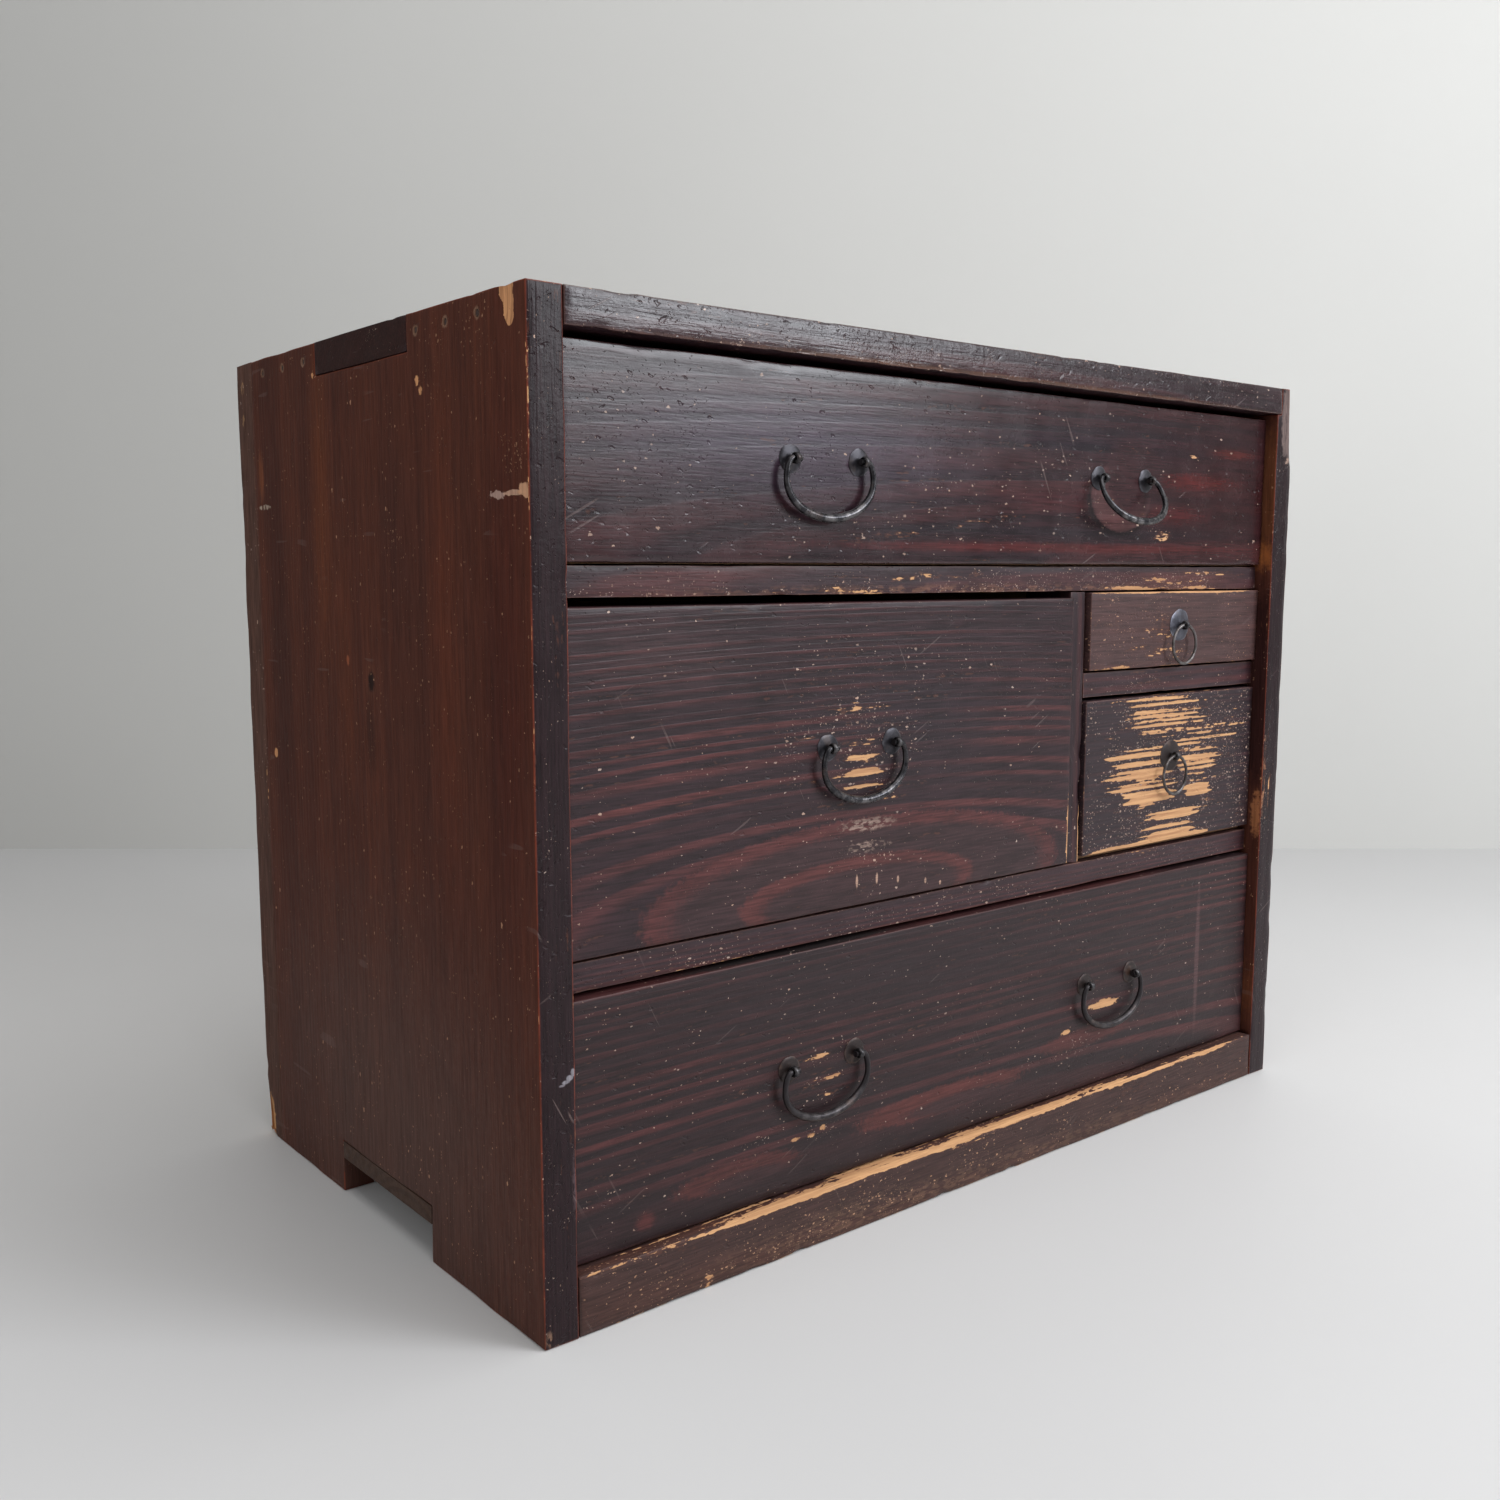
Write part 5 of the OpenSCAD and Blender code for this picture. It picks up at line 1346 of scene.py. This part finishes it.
def plate_mesh(radius, seed):
    """A thin domed plate cut by hand, its back on the plane y = 0 and its face towards -y."""
    work = bmesh.new()
    turns, steps = 40, 9
    rows = []
    for i in range(steps + 1):
        share = i / steps
        row = []
        for j in range(turns):
            a = 2 * math.pi * j / turns
            # Waves of three and seven round the rim
            uneven = 1 - 0.035 * (1 + math.sin(3 * a + seed)) / 2 \
                - 0.03 * (1 + math.sin(7 * a + 2 * seed)) / 2
            r = PLATE_HOLE + (radius * uneven - PLATE_HOLE) * share
            rise = 0.42 + 0.92 * math.cos(share * math.pi / 2) ** 0.8
            if i == steps:
                rise = 0.30
            row.append(work.verts.new((r * math.cos(a) * MM, -rise * MM, r * math.sin(a) * MM)))
        rows.append(row)
    back_edge = [work.verts.new((v.co.x * 0.99, 0, v.co.z * 0.99)) for v in rows[-1]]
    back_hole = [work.verts.new((v.co.x, 0, v.co.z)) for v in rows[0]]
    rows = [back_hole] + rows + [back_edge, back_hole]
    for a, b in zip(rows, rows[1:]):
        for j in range(turns):
            n = (j + 1) % turns
            work.faces.new((a[j], a[n], b[n], b[j]))

    def rub(points):
        r = np.linalg.norm(points[:, [0, 2]], axis=1) / MM
        return np.clip((r - radius + 1.3) / 1.0, 0, 1) * 0.9
    return mesh_from(work, "plate", rub=rub)


class TANSU_OT_plates(Step, bpy.types.Operator):
    """The domed plates under the split pins"""
    bl_idname = "tansu.plates"
    bl_label = "Plates"

    def execute(self, context):
        black = iron_finish("Plate iron", srgb(40, 38, 43), srgb(92, 90, 96), 0.10,
                            metal=0.6, rough=0.38, rusty=0.3)
        brown = iron_finish("Brown plate iron", srgb(40, 31, 30), srgb(84, 68, 62), 0.10,
                            metal=0.5, rough=0.44, rusty=0.8)
        grey = iron_finish("Grey plate iron", srgb(66, 66, 74), srgb(112, 112, 122), 0.40,
                           metal=0.6, rough=0.36, rusty=0.25)
        finishes = {"small": grey, "medium": brown, "bottom": brown}
        for k, (height, xs) in pull_places().items():
            ring = k in WITH_RING
            plate = finishes.get(k, black)
            rows = []
            for n, x in enumerate(xs):
                shape = plate_mesh(RING_PLATE if ring else BAIL_PLATE, 1.3 * n + ord(k[0]))
                first = x if ring else x - POST_SPACING / 2
                rows.append(row_of(shape, plate, 1 if ring else 2,
                                   place(first, FACES[k], height),
                                   (POST_SPACING * MM, 0, 0), turn=2.5, seed=n + 3))
            name = k + "_drawer_plates"
            finished(name + "_wrought", joined(name, rows, plate), k + "_drawer", "black_iron",
                     plate, name)
        return {"FINISHED"}


def pin_mesh(hole):
    """A split pin about its eye: a strip bent into an eye, two legs through the board and
    bent apart behind it. hole is the radius of the eye's opening."""
    work = bmesh.new()
    middle = (EYE + hole) / 2 * MM
    thick = (EYE - hole) / 2 * MM
    turns = 28
    ring = []
    for i in range(turns):
        a = 2 * math.pi * i / turns
        ring.append(Vector((0, middle * math.cos(a), middle * math.sin(a))))
    tube(work, ring, [EYE_WIDTH / 2 * MM] * turns, 12, squeeze=(Vector((0, 1, 0)), thick / (
        EYE_WIDTH / 2 * MM)), closed=True, bumps=0.04 * MM, seed=4)
    back = STANDOFF + BOARD
    for way in (-1, 1):
        line = [(EYE - 0.9, 0.62), (STANDOFF, 0.66), (back * 0.6, 0.66), (back - 0.2, 0.70),
                (back + 0.75, 1.3), (back + 1.15, 2.6), (back + 1.2, 4.6), (back + 1.2, 6.8),
                (back + 1.2, 8.9)]
        path = [Vector((0, y * MM, way * z * MM)) for y, z in line]
        radii = [r * MM for r in (0.66, 0.66, 0.66, 0.68, 0.82, 0.98, 1.0, 0.9, 0.45)]
        tube(work, path, radii, 10, seed=6)
    return mesh_from(work, "pin")


class TANSU_OT_split_pins(Step, bpy.types.Operator):
    """The split pins whose eyes carry bails and rings"""
    bl_idname = "tansu.split_pins"
    bl_label = "Split pins"

    def execute(self, context):
        iron = context.scene.tansu_iron
        pin = iron_finish("Pin iron", srgb(44, 42, 44), tuple(iron.rubbed) + (1,), 0.22)
        for k, (height, xs) in pull_places().items():
            ring = k in WITH_RING
            shape = pin_mesh((RING_WIRE if ring else PINTLE) + EYE_PLAY)
            rows = []
            for n, x in enumerate(xs):
                first = x if ring else x - POST_SPACING / 2
                rows.append(row_of(shape, pin, 1 if ring else 2,
                                   place(first, FACES[k] - STANDOFF, height),
                                   (POST_SPACING * MM, 0, 0), turn=0.0, seed=n))
            name = k + "_drawer_pins"
            finished(name + "_wrought", joined(name, rows, pin), k + "_drawer", "black_iron",
                     pin, name)
        return {"FINISHED"}


class TANSU_OT_wooden_pegs(Step, bpy.types.Operator):
    """The pegs that pin the top board to the sides and the back boards to the shelves"""
    bl_idname = "tansu.wooden_pegs"
    bl_label = "Wooden pegs"

    def execute(self, context):
        material, g, shader = new_material("Peg end grain")
        point = object_point(g)
        grain = g.noise(point, 1500.0, 3.0, 0.7)
        colour = g.blend(g.between(grain, 0.35, 0.7), srgb(70, 46, 38), srgb(26, 18, 17))
        g.feed(shader.inputs["Base Color"], colour)
        g.feed(shader.inputs["Roughness"], g.math("MULTIPLY_ADD", grain, 0.2, 0.6))
        g.bump(shader, grain, 0.5, 0.3)
        radius, length, sunk = 1.78, 40.0, 0.45

        def peg(turn):
            work = bmesh.new()
            levels = ((0, 0.9), (0.5, 1.0), (length - sunk - 0.5, 1.0), (length - sunk - 0.2, 0.92),
                      (length - sunk, 0.55))
            path = [Vector((0, 0, d * MM)) for d, share in levels]
            tube(work, path, [radius * share * MM for d, share in levels], 20)
            return mesh_from(work, "peg", turn)
        out_right = peg(Matrix.Rotation(math.pi / 2, 4, "Y"))
        out_left = peg(Matrix.Rotation(-math.pi / 2, 4, "Y"))
        out_back = peg(Matrix.Rotation(-math.pi / 2, 4, "X"))
        rows = []
        start = HALF_WIDTH - length
        for shape, x in ((out_right, start), (out_left, -start)):
            for y in PEG_STARTS:
                rows.append(row_of(shape, material, 3, place(x, y, SIDE_PEG_HEIGHT),
                                   (0, PEG_STEP * MM, 0), (1, 0, 0), 3.0, int(y)))
        for z in BACK_PEG_HEIGHTS:
            rows.append(row_of(out_back, material, BACK_PEG_COUNT,
                               place(BACK_PEG_START, BACK_PEG_DEPTH, z),
                               (BACK_PEG_STEP * MM, 0, 0), (0, 1, 0), 3.0, int(z)))
        mesh = joined("wooden_pegs", rows, material)
        finished("wooden_pegs_cut", mesh, "carcase", "peg_wood", material, "wooden_pegs")
        return {"FINISHED"}


# Stage


def plain_surface(name, colour, rough, direction, low, high, darkest_painted_shade):
    """A plain surface with painted shade: its colour darkens towards low along a direction, in
    metres.
    """
    material, g, shader = new_material(name)
    point = object_point(g)
    cloud = g.noise(point, 1.3, 3.0, 0.5)
    tint = g.blend(g.between(cloud, 0.3, 0.7, 0.0, 0.16), tuple(colour) + (1,),
                   tuple(0.82 * c for c in colour) + (1,))
    # Painted shade: darker towards low, where the lamps' light falls off
    along = g.vector("DOT_PRODUCT", point, tuple(direction))
    fade = g.between(along, low, high, darkest_painted_shade, 1.0)
    g.feed(shader.inputs["Base Color"], g.shaded(tint, fade))
    shader.inputs["Roughness"].default_value = rough
    return material


def lamp(name, location, target, size, power, colour=(1, 1, 1)):
    """A soft rectangular lamp that looks at a point."""
    data = bpy.data.lights.new(name, "AREA")
    data.shape = "RECTANGLE"
    data.size, data.size_y = size
    data.energy = power
    data.color = colour
    made = bpy.data.objects.new(name, data)
    made.location = location
    made.rotation_euler = (Vector(target) - Vector(location)).to_track_quat(
        "-Z", "Y").to_euler()
    bpy.context.scene.collection.objects.link(made)


def sheet(name, corners, material):
    """A flat four-cornered surface that belongs to the stage."""
    work = bmesh.new()
    work.faces.new([work.verts.new(corner) for corner in corners])
    mesh = bpy.data.meshes.new(name)
    work.to_mesh(mesh)
    work.free()
    mesh.materials.append(material)
    made = bpy.data.objects.new(name, mesh)
    bpy.context.scene.collection.objects.link(made)


class TANSU_OT_stage(Step, bpy.types.Operator):
    """Floor, wall, soft lamps and the camera"""
    bl_idname = "tansu.stage"
    bl_label = "Stage"

    def execute(self, context):
        scene = context.scene
        settings = scene.tansu_stage
        # Camera place and heading, fitted to the chest's edges in the photograph
        eye = Vector((-0.6703, -0.7654, 0.3878))
        ahead = Vector((0.62589, 0.76993, -0.12435))
        flat = Vector((ahead.x, ahead.y, 0)).normalized()
        across = Vector((flat.y, -flat.x, 0))
        to_wall, half_wide, deep, tall = 1.98, 8, 12, 5
        wall_foot = eye + flat * to_wall
        wall_foot.z = 0
        foot, middle = wall_foot.dot(flat), wall_foot.dot(across)
        # The floor's colour darkens towards the wall and the wall's towards the left: painted shade
        # where the lamps' light falls off
        sheet("floor", [wall_foot + across * a - flat * b for a, b in (
            (-half_wide, 0), (half_wide, 0), (half_wide, deep), (-half_wide, deep))],
            plain_surface("Pale floor", settings.floor, 0.55, -flat, -foot, 1.0 - foot, 0.80))
        sheet("wall", [wall_foot + across * a + Vector((0, 0, h)) for a, h in (
            (-half_wide, 0), (-half_wide, tall), (half_wide, tall), (half_wide, 0))],
            plain_surface("Pale wall", settings.wall, 0.8, across, middle - 1.4, middle + 0.2,
                          0.78))
        cool = (0.91, 0.945, 1.0)
        lamp("window", (1.42, -2.51, 1.62), (-0.1, -0.17, 0.3), (1.45, 1.9), 33, cool)
        lamp("key", (1.5, -2.3, 1.36), (-0.1, -0.17, 0.3), (0.95, 0.95), 28, cool)
        lamp("overhead", (0.3, -1.4, 2.8), (0.1, -0.5, 0), (3.2, 3.0), 68)
        lamp("left fill", (-2.6, -0.5, 1.3), (0, 0, 0.1), (2.0, 2.0), 12)
        world = bpy.data.worlds.new("Soft room")
        world.use_nodes = True
        world.node_tree.nodes["Background"].inputs[0].default_value = (0.95, 0.97, 1.0, 1)
        world.node_tree.nodes["Background"].inputs[1].default_value = 0.35
        scene.world = world
        data = bpy.data.cameras.new("camera")
        data.sensor_width = 36
        data.lens = settings.lens
        data.clip_start, data.clip_end = 0.01, 50
        camera = bpy.data.objects.new("camera", data)
        camera.location = eye
        camera.rotation_euler = ahead.to_track_quat("-Z", "Y").to_euler()
        scene.collection.objects.link(camera)
        scene.camera = camera
        scene.view_settings.view_transform = "Standard"
        return {"FINISHED"}


class TANSU_PT_panel(bpy.types.Panel):
    """Lists the steps in the sidebar"""
    bl_idname = "TANSU_PT_panel"
    bl_label = "Tansu chest"
    bl_space_type = "VIEW_3D"
    bl_region_type = "UI"
    bl_category = "Tansu"

    def draw(self, context):
        for operator in OPERATORS:
            self.layout.operator(operator.bl_idname)
        for name in ("tansu_wood", "tansu_iron", "tansu_stage"):
            settings = getattr(context.scene, name)
            box = self.layout.box()
            for key in settings.__annotations__:
                box.prop(settings, key)


SETTINGS = (TansuWoodSettings, TansuIronSettings, TansuStageSettings)
OPERATORS = (
    TANSU_OT_stage, TANSU_OT_case_boards, TANSU_OT_front_frame, TANSU_OT_inner_boards,
    TANSU_OT_drawer_fronts, TANSU_OT_drawer_boxes, TANSU_OT_wooden_pegs, TANSU_OT_plates,
    TANSU_OT_split_pins, TANSU_OT_bails, TANSU_OT_rings)


def register():
    """Adds the settings, the steps and the panel."""
    for kind in SETTINGS + OPERATORS + (TANSU_PT_panel,):
        bpy.utils.register_class(kind)
    bpy.types.Scene.tansu_wood = PointerProperty(type=TansuWoodSettings)
    bpy.types.Scene.tansu_iron = PointerProperty(type=TansuIronSettings)
    bpy.types.Scene.tansu_stage = PointerProperty(type=TansuStageSettings)


def unregister():
    """Takes out again what register added."""
    for name in ("tansu_wood", "tansu_iron", "tansu_stage"):
        delattr(bpy.types.Scene, name)
    for kind in reversed(SETTINGS + OPERATORS + (TANSU_PT_panel,)):
        bpy.utils.unregister_class(kind)


def main():
    """Runs each step in turn."""
    register()
    for operator in OPERATORS:
        group, name = operator.bl_idname.split(".")
        getattr(getattr(bpy.ops, group), name)()


if __name__ == "__main__":
    main()
